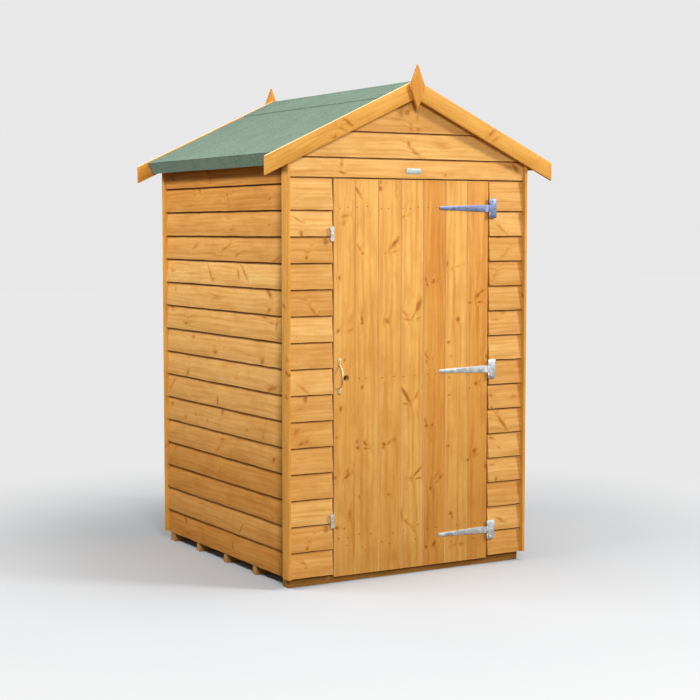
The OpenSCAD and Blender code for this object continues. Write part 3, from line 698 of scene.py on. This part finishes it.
# Where the nails are, along each wall
SIDE_LINES, BACK_LINES, GABLE_LINES = (-543.0, 0.0, 543.0), (-540.0, 0.0, 540.0), (-540.0, -385.0, 385.0, 540.0)
LEFT_LINES, RIGHT_LINES = (-540.0, -390.0), (540.0,)
for name, outer, knots, tones in (("left", -1, LEFT_WALL_KNOTS, LEFT_WALL_TONES), ("right", 1, None, None)):
    # The boards run past the ends of the back wall's boards, and the top one ends under the eaves
    x0, x1 = sorted((-outer * HALF_D, outer * OUT_Y))
    boards = lapped_boards(HALF_W, spans(0, SIDE_BOARDS), x0, x1, outer * math.pi / 2, luck,
                           SIDE_LINES, knots, tones)
    saw(boards[-1], (outer * HALF_W, 0, EAVES_Z - SEAT), (outer * math.sin(PITCH), 0, math.cos(PITCH)))
    for board in boards:
        # Nearness to the front trim, for the painted shadow that it casts
        mark(board, "beside", [max(0.0, TRIM_SHADOW_REACH - HALF_D - v.co.y / MM) for v in board.data.vertices])
    clad(name + "_wall", boards)
for name, courses, x0, x1, turn, nails_at, knots, tones, saw_top in (
        ("back_wall", spans(0, GABLE_BOARDS), -HALF_W, HALF_W, math.pi, BACK_LINES, None, None, True),
        ("front_left", strip_spans, -OUT_X, STRIP_LEFT, 0.0, LEFT_LINES, LEFT_STRIP_KNOTS, LEFT_STRIP_TONES, False),
        ("front_right", strip_spans, STRIP_RIGHT, OUT_X, 0.0, RIGHT_LINES, RIGHT_STRIP_KNOTS, RIGHT_STRIP_TONES, False),
        ("front_gable", gable_spans, -OUT_X, OUT_X, 0.0, GABLE_LINES, GABLE_KNOTS, GABLE_TONES, True)):
    clad(name, lapped_boards(HALF_D, courses, x0, x1, turn, luck, nails_at, knots, tones, saw_top))
put_in_place("wall_nail_heads", wall_nails, DIPPED_NAIL, "shed", "zinc_plated_steel")


# ---------------------------------------------------------------- framing and base

def frame_up(name, timbers, solid, finish=FRAMING):
    put_in_place(name, timbers, finish, "shed", "framing_timber", solid)


SOLE_TOP, BETWEEN = FLOOR_TOP + STUD, HALF_W - STUD
for name, outer in (("left", -1), ("right", 1)):
    x0, x1 = sorted((outer * HALF_W, outer * BETWEEN))
    studs = [stick((x0, y - STUD / 2, SOLE_TOP), (x1, y + STUD / 2, PLATE_Z), 2, luck)
             for y in (-INNER_Y + STUD / 2, 0, INNER_Y - STUD / 2)]
    frame_up(name + "_studs", studs, name + "_wall_studs")
    sole = stick((x0, -INNER_Y, FLOOR_TOP), (x1, INNER_Y, SOLE_TOP), 1, luck)
    plate = squared((x0, -INNER_Y, PLATE_Z), (x1, INNER_Y, EAVES_Z + STUD))
    saw_under_roof(plate, sides=(outer,))
    frame_up(name + "_rails", [sole, grain_along(plate, 1, luck)], name + "_wall_rails")

back_studs = []
for x in (-HALF_W + STUD / 2, 0, HALF_W - STUD / 2):
    stud = squared((x - STUD / 2, INNER_Y, SOLE_TOP), (x + STUD / 2, HALF_D, EAVES_Z if x else RAIL_Z0))
    if x:
        saw_under_roof(stud, RAFTER + SEAT)
    back_studs.append(grain_along(stud, 2, luck))
frame_up("back_studs", back_studs, "back_wall_studs")
frame_up("back_rails", [
    stick((-HALF_W, INNER_Y, FLOOR_TOP), (HALF_W, HALF_D, SOLE_TOP), 0, luck),
    stick((-BETWEEN, INNER_Y, RAIL_Z0), (BETWEEN, HALF_D, RAIL_Z1), 0, luck)], "back_wall_rails")

posts = [stick((x0, -HALF_D, FLOOR_TOP), (x1, -INNER_Y, RAIL_Z0), 2, luck) for x0, x1 in POSTS]
for side in (-1, 1):
    x0, x1 = sorted((side * HALF_W, side * BETWEEN))
    post = saw_under_roof(squared((x0, -HALF_D, FLOOR_TOP), (x1, -INNER_Y, EAVES_Z)), RAFTER + SEAT)
    posts.append(grain_along(post, 2, luck))
frame_up("front_posts", posts, "front_wall_posts")
frame_up("front_soles", [
    stick((x0, -HALF_D, FLOOR_TOP), (x1, -INNER_Y, SOLE_TOP), 0, luck)
    for x0, x1 in ((-BETWEEN, POSTS[0][0]), (POSTS[1][1], BETWEEN))], "front_sole_rails")
frame_up("front_head", [
    stick((-BETWEEN, -HALF_D, RAIL_Z0), (BETWEEN, -INNER_Y, RAIL_Z1), 0, luck)], "front_head_rail")

slope_way = {side: (side * math.cos(PITCH), 0, -math.sin(PITCH)) for side in (-1, 1)}
slope_up = {side: (side * math.sin(PITCH), 0, math.cos(PITCH)) for side in (-1, 1)}
for name, outer in (("front", -1), ("back", 1)):
    rafters = []
    for side in (-1, 1):
        y0, y1 = sorted((outer * side * INNER_Y, outer * side * HALF_D))
        rafter = lean(squared((RAFTER_ROUGH[0], y0, -RAFTER * math.cos(PITCH) - SEAT),
                              (RAFTER_ROUGH[1], y1, -SEAT)), side)
        saw(rafter, (side * 0.5, 0, 0), (-side, 0, 0))
        saw(rafter, (side * HALF_W, 0, 0), (side, 0, 0))
        rafters.append(give_grain(rafter, slope_way[side], slope_up[side], luck, chance_knots(luck, *RAFTER_KNOTS)))
    frame_up(name + "_rafter_pair", rafters, name + "_rafters")

# Painted shade: the front bearer, in the shade under the door, is darker than the others
front_bearer, *bearers = [
    stick((-BEARER_X, y - half, 0), (BEARER_X, y + half, BEARER_H), 0, luck, 2.0) for y, half in BEARERS]
put_in_place("front_bearer", [front_bearer], SHADED_BEARER_PINE, "shed", "framing_timber")
frame_up("floor_bearers", bearers, "bearers")


# ---------------------------------------------------------------- corner trims and roof

def trim_up(name, piece, solid):
    put_in_place(name, [piece], TRIM_PINE, "shed", "planed_trim", solid)


BARGE_KNOTS = {
    "left": ((372, 4, 26, 7, 60, 0.7), (410, -8, 28, 5, 45, 0.45), (455, -24, 12, 6, 0, 0.6)),
    "right": ((432, 8, 26, 7, 65, 0.6), (462, -6, 26, 6, 55, 0.45), (700, 10, 12, 5, 60, 0.35))}
for end, end_side in (("front", -1), ("back", 1)):
    at_front = end == "front"
    for name, side in (("left", -1), ("right", 1)):
        # Front trims lie on the side walls, back trims on the back, over the ends of the side boards
        depth, width = (TRIM_W, TRIM_T) if at_front else (TRIM_Y - OUT_Y, TRIM_W)
        x0, x1 = sorted((side * (OUT_X + TRIM_T - width), side * (OUT_X + TRIM_T)))
        y0, y1 = sorted((end_side * TRIM_Y, end_side * (TRIM_Y - depth)))
        trim = squared((x0, y0, CLAD_BOTTOM), (x1, y1, EAVES_Z + TRIM_W))
        ease(trim, runs_along(2), TRIM_EASE)
        saw_under_roof(trim, sides=(side,))
        knots = chance_knots(luck, *TRIM_KNOTS)
        give_grain(trim, (0, 0, 1), (width - TRIM_T, depth - TRIM_T, 0), luck, knots, TRIM_TONE if at_front else 1.0)
        trim_up("corner_trim_%s_%s" % (end, name), trim, "%s_%s_trim" % (end, name))

        # Bargeboard: cut plumb at the apex and at its lower end
        y0, y1 = sorted((end_side * ROOF_Y * side, end_side * (ROOF_Y + BARGE_T) * side))
        barge = lean(squared((BARGE_ROUGH[0], y0, BARGE_TOP - BARGE_W), (BARGE_ROUGH[1], y1, BARGE_TOP)), side)
        saw(barge, (side * 0.2, 0, 0), (-side, 0, 0))
        saw(barge, (side * BARGE_X, 0, 0), (side, 0, 0))
        ease(barge, lambda edge: True, TRIM_EASE)
        knots, tone = chance_knots(luck, *BACK_BARGE_KNOTS), None
        if at_front:
            knots, tone = BARGE_KNOTS[name], TRIM_TONE
        give_grain(barge, slope_way[side], slope_up[side], luck, knots, tone)
        trim_up("barge_%s_%s" % (end, name), barge, "bargeboard_%s_%s" % (end, name))

    # Diamond finial over the joint
    y0, y1 = end_side * (ROOF_Y + BARGE_T), end_side * (ROOF_Y + BARGE_T + FINIAL_T)
    finial = turned(1 / MM, y0, y1, 0, 0, 4)
    finial.scale = (FINIAL_HALF * MM, 1, (FINIAL_UP + FINIAL_DOWN) / 2 * MM)
    finial.location = (0, 0, (BARGE_Z + (FINIAL_UP - FINIAL_DOWN) / 2) * MM)
    settle(finial)
    ease(finial, lambda edge: not runs_along(1)(edge), 1.5)
    give_grain(finial, (0, 0, 1), (1, 0, 0), luck)
    trim_up("diamond_finial_" + end, finial, "finial_" + end)

for name, side in (("left", -1), ("right", 1)):
    batten = stick((ROOF_RUN - EAVES_BATTEN, -ROOF_Y, -EAVES_DEPTH), (ROOF_RUN, ROOF_Y, -SEAT), 1, luck)
    frame_up("eaves_batten_" + name + "_timber", [lean(batten, side)], "eaves_batten_" + name, TRIM_PINE)
frame_up("ridge_batten_pair", [
    lean(stick((RIDGE_BATTEN[0], -INNER_Y, -RIDGE_DEPTH), (RIDGE_BATTEN[1], INNER_Y, -SEAT), 1, luck), side)
    for side in (-1, 1)], "ridge_battens")


def felt_sheet(run, base, seed, fold):
    """One side's felt, drawn level: a thin sheet that is turned down over the eaves where it has a fold."""
    sheet = squared((-12, -ROOF_Y, base), (run, ROOF_Y, base + FELT_T))
    mode("EDIT")
    if fold:
        inner = (run - FELT_T) * MM
        bpy.ops.mesh.select_all(action="SELECT")
        bpy.ops.mesh.bisect(plane_co=(inner, 0, 0), plane_no=(1, 0, 0))
        pick("FACE", lambda f: f.normal.z < -0.9 and f.calc_center_median().x > inner)
        bpy.ops.mesh.extrude_region_move(TRANSFORM_OT_translate={"value": (0, 0, (-EAVES_DEPTH - base) * MM)})
        pick("EDGE", lambda e: runs_along(1)(e) and all(
            v.co.x > (run - 0.1) * MM and v.co.z > base * MM for v in e.verts))
        bpy.ops.mesh.bevel(offset=FOLD_R * MM, segments=3, affect="EDGES")
    pick("EDGE", lambda e: runs_along(0)(e) and e.calc_length() > 100 * MM)
    bpy.ops.mesh.subdivide(number_cuts=9 if fold else 2)
    pick("EDGE", runs_along(1))
    bpy.ops.mesh.subdivide(number_cuts=17)
    # The sheet lies a little unevenly and its cut edge wanders
    pick("VERT", lambda v: v.co.z > (base + FELT_T - 0.1) * MM and abs(v.co.y) < (ROOF_Y - 1) * MM
         and v.co.x > 20 * MM)
    bpy.ops.transform.vertex_random(offset=FELT_WAVE * MM, uniform=0.0, normal=1.0, seed=seed)
    if fold:
        pick("VERT", lambda v: v.co.z < (-EAVES_DEPTH + 0.1) * MM)
        bpy.ops.transform.vertex_random(offset=FELT_WANDER * MM, uniform=1.0, normal=0.0, seed=seed + 1)
    mode("OBJECT")
    return sheet


felt = []
felt_base = PANEL_T + SEAT
for side in (-1, 1):
    for run, base, fold in ((ROOF_RUN + SEAT + FELT_T, felt_base, True), (CAP_RUN, felt_base + FELT_T, False)):
        sheet = lean(felt_sheet(run, base, 5 + side, fold), side)
        felt.append(saw(sheet, (0, 0, 0), (-side, 0, 0)))
put_in_place("mineral_felt", felt, FELT, "shed", "roofing_felt", "roof_felt")
for name in ("floor", "roof_panel_left", "roof_panel_right"):
    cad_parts[name].data.materials.clear()
    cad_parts[name].data.materials.append(STRAND_BOARD)


# ---------------------------------------------------------------- door

# Knots as on the walls, board by board from the left; nails by x and height, row by row
DOOR_BOARD_KNOTS = (
    ((-313, 1514, 18, 7, 10, 0.5), (-320, 1487, 12, 6, 50, 0.45), (-343, 1263, 8, 6, 90, 0.85),
     (-293, 1085, 18, 8, 90, 0.3), (-349, 1045, 8, 6, 60, 0.75), (-293, 1045, 14, 6, 20, 0.4),
     (-317, 924, 7, 5, 60, 0.55), (-336, 725, 9, 6, 90, 0.9), (-356, 607, 7, 5, 60, 0.65),
     (-303, 463, 14, 7, 60, 0.5), (-303, 444, 16, 6, 40, 0.85), (-362, 440, 7, 5, -30, 0.85),
     (-295, 280, 22, 8, 85, 0.4), (-355, 231, 9, 7, 0, 0.95), (-319, 225, 4, 4, 0, 0.65)),
    ((-256, 1617, 19, 5, -55, 1.0), (-236, 1591, 20, 4, -48, 0.45), (-251, 1387, 28, 6, -50, 0.4),
     (-230, 1360, 6, 4, 90, 0.85), (-234, 1088, 18, 6, 100, 0.6), (-233, 1074, 7, 5, 0, 0.8),
     (-234, 808, 8, 7, 60, 0.65), (-258, 583, 9, 5, -50, 0.65), (-255, 557, 8, 6, 0, 0.8),
     (-219, 573, 17, 6, -35, 0.6), (-213, 552, 14, 4, 0, 0.6), (-244, 350, 6, 5, -40, 0.6)),
    ((-146, 1627, 9, 8, 0, 0.95), (-146, 1652, 8, 6, 90, 0.55), (-68, 1635, 16, 5, 85, 0.4),
     (-75, 1403, 29, 8, 45, 1.0), (-76, 1368, 20, 5, 15, 0.4), (-119, 1360, 5, 4, 60, 0.55),
     (-116, 1079, 13, 11, 0, 0.55), (-127, 562, 9, 6, -30, 0.8), (-103, 570, 13, 4, 40, 0.75),
     (-76, 580, 14, 5, 5, 0.45), (-133, 550, 9, 4, 0, 0.5), (-106, 350, 7, 6, 0, 0.6), (-76, 83, 26, 16, 60, 0.25),
     (-119, 818, 5, 4, 0, 0.45)),
    ((-34, 1511, 14, 5, 20, 0.5), (44, 1142, 25, 10, 65, 0.85), (17, 1096, 20, 3, 55, 0.7),
     (-27, 1110, 26, 6, -45, 0.45), (-13, 1082, 25, 5, -10, 0.45), (44, 1087, 12, 4, 20, 0.4),
     (-24, 770, 45, 6, -56, 1.0), (-22, 727, 18, 4, -5, 0.55), (30, 757, 38, 4, 52, 0.4),
     (41, 437, 24, 4.5, 42, 0.95), (44, 407, 16, 4, 5, 0.65), (4, 410, 18, 6, -10, 0.4), (-40, 258, 26, 4, 95, 0.75),
     (-14, 223, 34, 5, -42, 0.4), (42, 208, 8, 6, 20, 0.4)),
    ((77, 1249, 14, 5, -55, 0.65), (87, 1227, 7, 5, -30, 0.75), (116, 1239, 9, 6, 60, 0.9),
     (151, 1252, 22, 4, 35, 0.4), (84, 925, 22, 5, -50, 0.45), (114, 912, 10, 4, -50, 0.45), (84, 902, 6, 5, 0, 0.55),
     (78, 650, 12, 4, -60, 0.55), (84, 627, 7, 6, 0, 0.75), (114, 630, 8, 5, 40, 0.65), (134, 412, 34, 7, 48, 0.4),
     (157, 403, 13, 5, 45, 0.65), (104, 357, 5, 5, 0, 0.9), (137, 384, 12, 4, 30, 0.45), (85, 109, 7, 6, 0, 0.9),
     (123, 117, 12, 7, 60, 1.0)),
    ((186, 1312, 12, 6, 80, 0.65), (237, 1302, 28, 4, 15, 0.3), (243, 1077, 9, 8, 0, 1.0), (193, 979, 6, 5, 0, 0.75),
     (207, 919, 5, 4, 0, 0.35), (197, 829, 4, 4, 0, 0.65), (199, 753, 6, 4, 0, 0.55), (196, 533, 8, 6, 60, 0.8),
     (211, 508, 24, 3, 90, 0.35), (211, 240, 8, 7, 0, 0.95), (217, 225, 11, 4, 90, 0.55), (264, 103, 14, 7, 0, 0.45),
     (217, 100, 14, 6, 20, 0.35)),
    ((344, 1176, 14, 7, 50, 1.0), (367, 1195, 14, 6, 30, 0.65), (354, 1147, 12, 5, 10, 0.65),
     (304, 1145, 6, 5, 0, 0.85), (392, 912, 9, 5, 100, 0.85), (337, 797, 10, 8, 0, 0.65), (303, 778, 4, 4, 0, 0.85),
     (332, 503, 11, 9, 60, 0.95), (332, 488, 18, 12, 0, 0.4), (296, 467, 6, 5, 0, 0.95), (391, 433, 12, 6, 100, 0.9)))
DOOR_TONES = (0.75, 0.75, 0.7, 0.85, 0.36, 0.75, 0.42)
DOOR_NAILS = (
    (-338, 1545), (-302, 1549), (-258, 1548), (-209, 1553), (-141, 1544), (-107, 1545), (-36, 1545), (1, 1545),
    (40, 1551), (89, 1551), (131, 1551),
    (-248, 845), (-217, 845), (-136, 844), (-77, 846), (-30, 843), (25, 847), (89, 847), (131, 848),
    (-346, 186), (-303, 185), (-306, 153), (-249, 195), (-233, 139), (-190, 190), (-137, 153), (-83, 183),
    (-100, 140), (-30, 188), (21, 183), (30, 146), (90, 184), (134, 187), (240, 188), (337, 187), (215, 117),
    (330, 120))


def on_face(edge):
    """Whether an edge starts on the door's face."""
    return edge.verts[0].co.y < (DOOR_FACE + 1) * MM


lock_cutter = turned(LOCK_R, DOOR_FACE - 20, LEDGE_BACK + 20, LOCK_X, LOCK_Z, 48)
door_edges = (DOOR_X0, *DOOR_JOINTS, DOOR_X1)
door_boards = []
for x0, x1, knots, tone in zip(door_edges, door_edges[1:], DOOR_BOARD_KNOTS, DOOR_TONES):
    left, right = x0 + (x0 > DOOR_X0) * JOINT_PLAY, x1 - (x1 < DOOR_X1) * JOINT_PLAY
    board = squared((left, DOOR_FACE, DOOR_Z0), (right, DOOR_BACK, DOOR_Z1))
    # Each board has a chamfer down both edges of its face, so that neighbours meet in a V
    ease(board, lambda e: runs_along(2)(e) and on_face(e), V_CHAMFER, 1)
    ease(board, lambda e: runs_along(0)(e) and on_face(e), 0.8)
    if x0 < LOCK_X < x1:
        drill(board, lock_cutter)
    # Painted highlight: the chamfer on a board's left edge is a little paler than its face
    mark(board, "paler", [CHAMFER_HIGHLIGHT * (f.normal.x < -0.3 and f.normal.y < -0.3)
                          for f in board.data.polygons], "FACE")
    door_boards.append(give_grain(board, (0, 0, 1), (1, 0, 0), luck, upright(knots), tone, (0, 0)))
tongue_luck = random.Random(29)
for x in DOOR_JOINTS:
    # The tongue that closes a joint, seen as the floor of the V
    tongue = squared((x - TONGUE_HALF, DOOR_FACE + TONGUE_Y[0], DOOR_Z0 + 1),
                     (x + TONGUE_HALF, DOOR_FACE + TONGUE_Y[1], DOOR_Z1 - 1))
    door_boards.append(give_grain(tongue, (0, 0, 1), (1, 0, 0), tongue_luck, (), 0.0, (0, 0)))
put_in_place("door_matchboards", door_boards, PLANED_PINE, "door", "door_boards", "door_boards")

for name, z in LEDGES.items():
    ledge = squared((LEDGE_X0, DOOR_BACK, z - LEDGE_HALF), (LEDGE_X1, LEDGE_BACK, z + LEDGE_HALF))
    ease(ledge, lambda e: all(v.co.y > (LEDGE_BACK - 1) * MM for v in e.verts), LEDGE_CHAMFER, 1)
    if name == "middle":
        drill(ledge, lock_cutter)
    grain_along(ledge, 0, luck)
    put_in_place("ledge_" + name, [ledge], FRAMING, "door", "framing_timber", "door_ledge_" + name)
scrap(lock_cutter)
for name, low, high in (("upper", "middle", "top"), ("lower", "bottom", "middle")):
    z0, z1 = LEDGES[low] + LEDGE_HALF, LEDGES[high] - LEDGE_HALF
    way = Vector((LEDGE_X0 - LEDGE_X1 + BRACE_W, 0, z1 - z0))
    brace = squared((LEDGE_X1 - BRACE_W, DOOR_BACK, z0), (LEDGE_X1, LEDGE_BACK, z1))
    mode("EDIT")
    pick("VERT", lambda v: v.co.z > (z0 + 1) * MM)
    bpy.ops.transform.translate(value=(way.x * MM, 0, 0))
    mode("OBJECT")
    ease(brace, lambda e: runs_along(2)(e) or abs((e.verts[1].co - e.verts[0].co).normalized().y) < 0.5
         and e.calc_length() > 200 * MM, 1.2)
    give_grain(brace, way, (way.z, 0, -way.x), luck, chance_knots(luck, *BRACE_KNOTS))
    put_in_place("brace_" + name, [brace], FRAMING, "door", "framing_timber", "door_brace_" + name)
nails = [copy_of(DOOR_NAIL, (x, DOOR_FACE, z)) for x, z in DOOR_NAILS]
put_in_place("door_nails", nails, NAIL, "door", "zinc_plated_steel")


# ---------------------------------------------------------------- ironwork

def screws(y, *places):
    return [copy_of(SCREW_HEAD, (x, y, z)) for x, z in places]


def hinge_knuckle(z0, z1, easing):
    """A knuckle round the hinge pin."""
    clear_bench()
    bpy.ops.mesh.primitive_cylinder_add(vertices=24, radius=KNUCKLE_R * MM, depth=(z1 - z0) * MM,
                                        location=(PIN_X * MM, PIN_Y * MM, (z0 + z1) / 2 * MM))
    return ease(settle(bpy.context.object), lambda e: not runs_along(2)(e), easing)


STRAP_FACE, PLATE_FACE = DOOR_FACE - IRON_T, -OUT_Y - IRON_T
for name, z in LEDGES.items():
    # Strap: tapered to a round tip, cranked up to its knuckle
    strap = squared((STRAP_TIP, STRAP_FACE, z - STRAP_HALF), (STRAP_ROOT, DOOR_FACE, z + STRAP_HALF))
    mode("EDIT")
    pick("VERT", lambda v: v.co.x < (STRAP_TIP + 1) * MM)
    bpy.ops.transform.resize(value=(1, 1, TIP_HALF / STRAP_HALF), center_override=(0, 0, z * MM))
    pick("EDGE", lambda e: runs_along(1)(e) and e.verts[0].co.x < (STRAP_TIP + 1) * MM)
    bpy.ops.mesh.bevel(offset=TIP_HALF * 0.96 * MM, segments=6, affect="EDGES")
    pick("FACE", lambda f: f.normal.x > 0.9)
    crank = ((PIN_X - KNUCKLE_R / 2 - STRAP_ROOT) * MM, (-OUT_Y - DOOR_FACE) * MM, 0)
    bpy.ops.mesh.extrude_region_move(TRANSFORM_OT_translate={"value": crank})
    pick("EDGE", edge_on(STRAP_FACE))
    bpy.ops.mesh.bevel(offset=0.5 * MM, segments=2, affect="EDGES")
    mode("OBJECT")
    plating = BLUE_ZINC if name == "top" else ZINC
    parts = [strap, hinge_knuckle(z - STRAP_HALF, z + STRAP_HALF, 0.5)]
    parts += screws(STRAP_FACE, *[(x, z) for x in STRAP_SCREWS])
    put_in_place("tee_strap_" + name, parts, plating, "door", "zinc_plated_steel", "hinge_strap_" + name)

    # Plate: on the proud edges of the lapped boards, with the two outer knuckles
    plate = squared((PIN_X + KNUCKLE_R + 1, PLATE_FACE, z - PLATE_HALF), (PLATE_X, -OUT_Y, z + PLATE_HALF))
    ease(plate, lambda e: runs_along(1)(e) and e.verts[0].co.x > (PLATE_X - 1) * MM, PLATE_CORNER, 4)
    ease(plate, edge_on(PLATE_FACE), 0.6)
    parts = [plate]
    for way in (-1, 1):
        z0, z1 = sorted((z + way * (STRAP_HALF + 0.5), z + way * PLATE_HALF))
        wing = squared((PIN_X, PLATE_FACE, z0), (PIN_X + KNUCKLE_R + 2, -OUT_Y, z1))
        parts += [wing, hinge_knuckle(z0, z1, 0.6)]
    parts += screws(PLATE_FACE, *[(x, z + up) for x, up in PLATE_SCREWS])
    put_in_place("tee_plate_" + name, parts, plating, "shed", "zinc_plated_steel", "hinge_plate_" + name)

for name, z in BUTTONS.items():
    # Turn button: round ends, a narrow waist and a boss behind
    button = squared((BUTTON_X - BUTTON_HALF_W, BUTTON_FACE, z - BUTTON_HALF_L),
                     (BUTTON_X + BUTTON_HALF_W, BUTTON_BACK - 5, z + BUTTON_HALF_L))
    mode("EDIT")
    pick("EDGE", runs_along(2))
    bpy.ops.mesh.subdivide(number_cuts=5)
    pick("VERT", lambda v: abs(v.co.z - z * MM) < BUTTON_HALF_L / 2 * MM)
    bpy.ops.transform.resize(value=(BUTTON_WAIST, 1, 1), center_override=(BUTTON_X * MM, 0, 0))
    pick("EDGE", lambda e: runs_along(1)(e) and abs(e.verts[0].co.z - z * MM) > (BUTTON_HALF_L - 1) * MM)
    bpy.ops.mesh.bevel(offset=(BUTTON_HALF_W - 1) * MM, segments=5, affect="EDGES")
    mode("OBJECT")
    boss = turned(BOSS_R, BUTTON_BACK, BUTTON_FACE + 0.5, BUTTON_X, z, 28)
    put_in_place("turn_button_" + name + "_casting", [button, boss], ZINC, name + "_button", "zinc_plated_steel",
                 "turn_button_" + name)
pivots = []
for z in BUTTONS.values():
    shank = turned(SHANK_R, -HALF_D, BUTTON_FACE - 1.3, BUTTON_X, z, 20)
    pivots += [shank, *screws(BUTTON_FACE - 0.6, (BUTTON_X, z))]
put_in_place("pivot_screw_pair", pivots, ZINC, "shed", "zinc_plated_steel", "pivot_screws")

# Bow handle: a slim rod swept out from two flat feet
clear_bench()
bpy.ops.curve.primitive_bezier_curve_add()
bow = bpy.context.object
route = bow.data.splines[0].bezier_points
route.add(len(PULL_BOW) - len(route))
for point, (up, out) in zip(route, PULL_BOW):
    point.co = (PULL_X * MM, (DOOR_FACE - out) * MM, (PULL_Z + up) * MM)
    point.handle_left_type = point.handle_right_type = "AUTO"
bow.data.bevel_depth, bow.data.bevel_resolution, bow.data.resolution_u = PULL_ROD * MM, 4, 8
bow.data.use_fill_caps = True
take_up(bow)
bpy.ops.object.convert(target="MESH")
handle = [settle(bpy.context.object)]
for way in (-1, 1):
    z0, z1 = sorted((PULL_Z + way * (PULL_HALF - PULL_FOOT), PULL_Z + way * PULL_HALF))
    foot = squared((PULL_X - PULL_FOOT_HALF, STRAP_FACE, z0), (PULL_X + PULL_FOOT_HALF, DOOR_FACE, z1))
    ease(foot, runs_along(1), 2.5, 3)
    ease(foot, edge_on(STRAP_FACE), 0.7)
    handle += [foot, *screws(STRAP_FACE, (PULL_X, PULL_Z + way * PULL_SCREW))]
# The handle's warm tint is a painted reflection of the wood
put_in_place("bow_pull", handle, WARM_REFLECTION_ZINC, "door", "zinc_plated_steel", "pull_handle")

# Blank plate on the board over the door
blank_face, blank_back = [-HALF_D - level for level in BLANK_LEVELS]
plate = squared((BLANK_X[0], blank_face, BLANK_Z[0]), (BLANK_X[1], blank_back, BLANK_Z[1]))
ease(plate, runs_along(1), BLANK_CORNER, 5)
ease(plate, edge_on(blank_face), 0.8)
put_in_place("blank_plate", [plate], SATIN_PLATE, "shed", "zinc_plated_steel")
scrap(WALL_NAIL, DOOR_NAIL, SCREW_HEAD)


# ---------------------------------------------------------------- stage, light and camera

def studio_floor():
    """Painted studio floor: matt and pale near the object, one with the pale surroundings further off."""
    finish, tree = new_finish("painted_studio_floor")
    place = own_place(tree)
    seen = node(tree, "ShaderNodeLightPath").outputs["Is Camera Ray"]
    paint = shades(tree, noise(tree, place, 1.3, 2.0)["Fac"], (0.3, "#C2C5C8"), (0.7, "#C6C9CC"))
    matt = node(tree, "ShaderNodeBsdfDiffuse", {"Color": paint}).outputs[0]
    away = far_from_zero(tree, place)
    fade = spread(tree, away, 0.8, 2.9, way="SMOOTHSTEP")
    depth = spread(tree, node(tree, "ShaderNodeSeparateXYZ", {0: place}).outputs["Y"], -2.4, 0.8)
    plain = sums(tree, "MAXIMUM", depth, spread(tree, away, 2.5, 7.0))
    glow = shades(tree, plain, (0.0, "#FAFAFA"), (1.0, "#E9E9E9"))
    wall = node(tree, "ShaderNodeEmission", {"Color": glow, "Strength": 1.0}).outputs[0]
    eye = node(tree, "ShaderNodeMixShader", {0: fade, 1: matt, 2: wall}).outputs[0]
    # What the floor throws back at the object stays low, so that the laps keep their shadows
    bounce = node(tree, "ShaderNodeBsdfDiffuse", {"Color": colour("#857B70")}).outputs[0]
    both = node(tree, "ShaderNodeMixShader", {0: seen, 1: bounce, 2: eye}).outputs[0]
    node(tree, "ShaderNodeOutputMaterial", {"Surface": both})
    return finish


clear_bench()
bpy.ops.mesh.primitive_plane_add(size=60)
ground = bpy.context.object
ground.name = "studio_floor"
ground.data.materials.append(studio_floor())

world = bpy.data.worlds.new("studio")
bpy.context.scene.world = world
world.use_nodes = True
sky = world.node_tree
sky.nodes.clear()
seen = node(sky, "ShaderNodeLightPath").outputs
shown = sums(sky, "MAXIMUM", seen["Is Camera Ray"], seen["Is Glossy Ray"])
shown = sums(sky, "MAXIMUM", shown, seen["Is Transmission Ray"])
lamp = node(sky, "ShaderNodeBackground", {"Color": (1.0, 1.0, 1.0, 1.0), "Strength": 0.22}).outputs[0]
pale = node(sky, "ShaderNodeBackground", {"Color": colour("#E8E8E8"), "Strength": 1.0}).outputs[0]
both = node(sky, "ShaderNodeMixShader", {0: shown, 1: lamp, 2: pale}).outputs[0]
node(sky, "ShaderNodeOutputWorld", {"Surface": both})


def softbox(name, place, target, wide, high, power):
    """A soft lamp that faces a point and doesn't show itself."""
    clear_bench()
    bpy.ops.object.light_add(type="AREA", location=place)
    lamp = bpy.context.object
    lamp.name = name
    lamp.data.shape = "RECTANGLE"
    lamp.data.size, lamp.data.size_y, lamp.data.energy = wide, high, power
    lamp.rotation_euler = (Vector(target) - Vector(place)).to_track_quat("-Z", "Y").to_euler()
    lamp.visible_camera = False


softbox("overhead_softbox", (0.9, -0.9, 5.2), (0.0, -0.2, 0.0), 2.2, 2.2, 108.0)
softbox("key_softbox", (4.0, -4.6, 4.6), (0.0, -0.5, 1.1), 1.4, 1.4, 290.0)
softbox("left_softbox", (-3.0, 0.4, 3.5), (-0.6, 0.1, 1.2), 3.0, 0.8, 106.0)
softbox("front_softbox", (-2.4, -6.2, 3.2), (0.0, -0.6, 0.9), 1.2, 1.2, 190.0)

clear_bench()
bpy.ops.object.camera_add(location=CAMERA_AT,
                          rotation=(math.radians(90 - CAMERA_DIP), 0.0, math.radians(CAMERA_TURN)))
camera = bpy.context.object
camera.data.lens, camera.data.sensor_width = LENS, 36.0
bpy.context.scene.camera = camera
bpy.context.scene.view_settings.view_transform = "Standard"
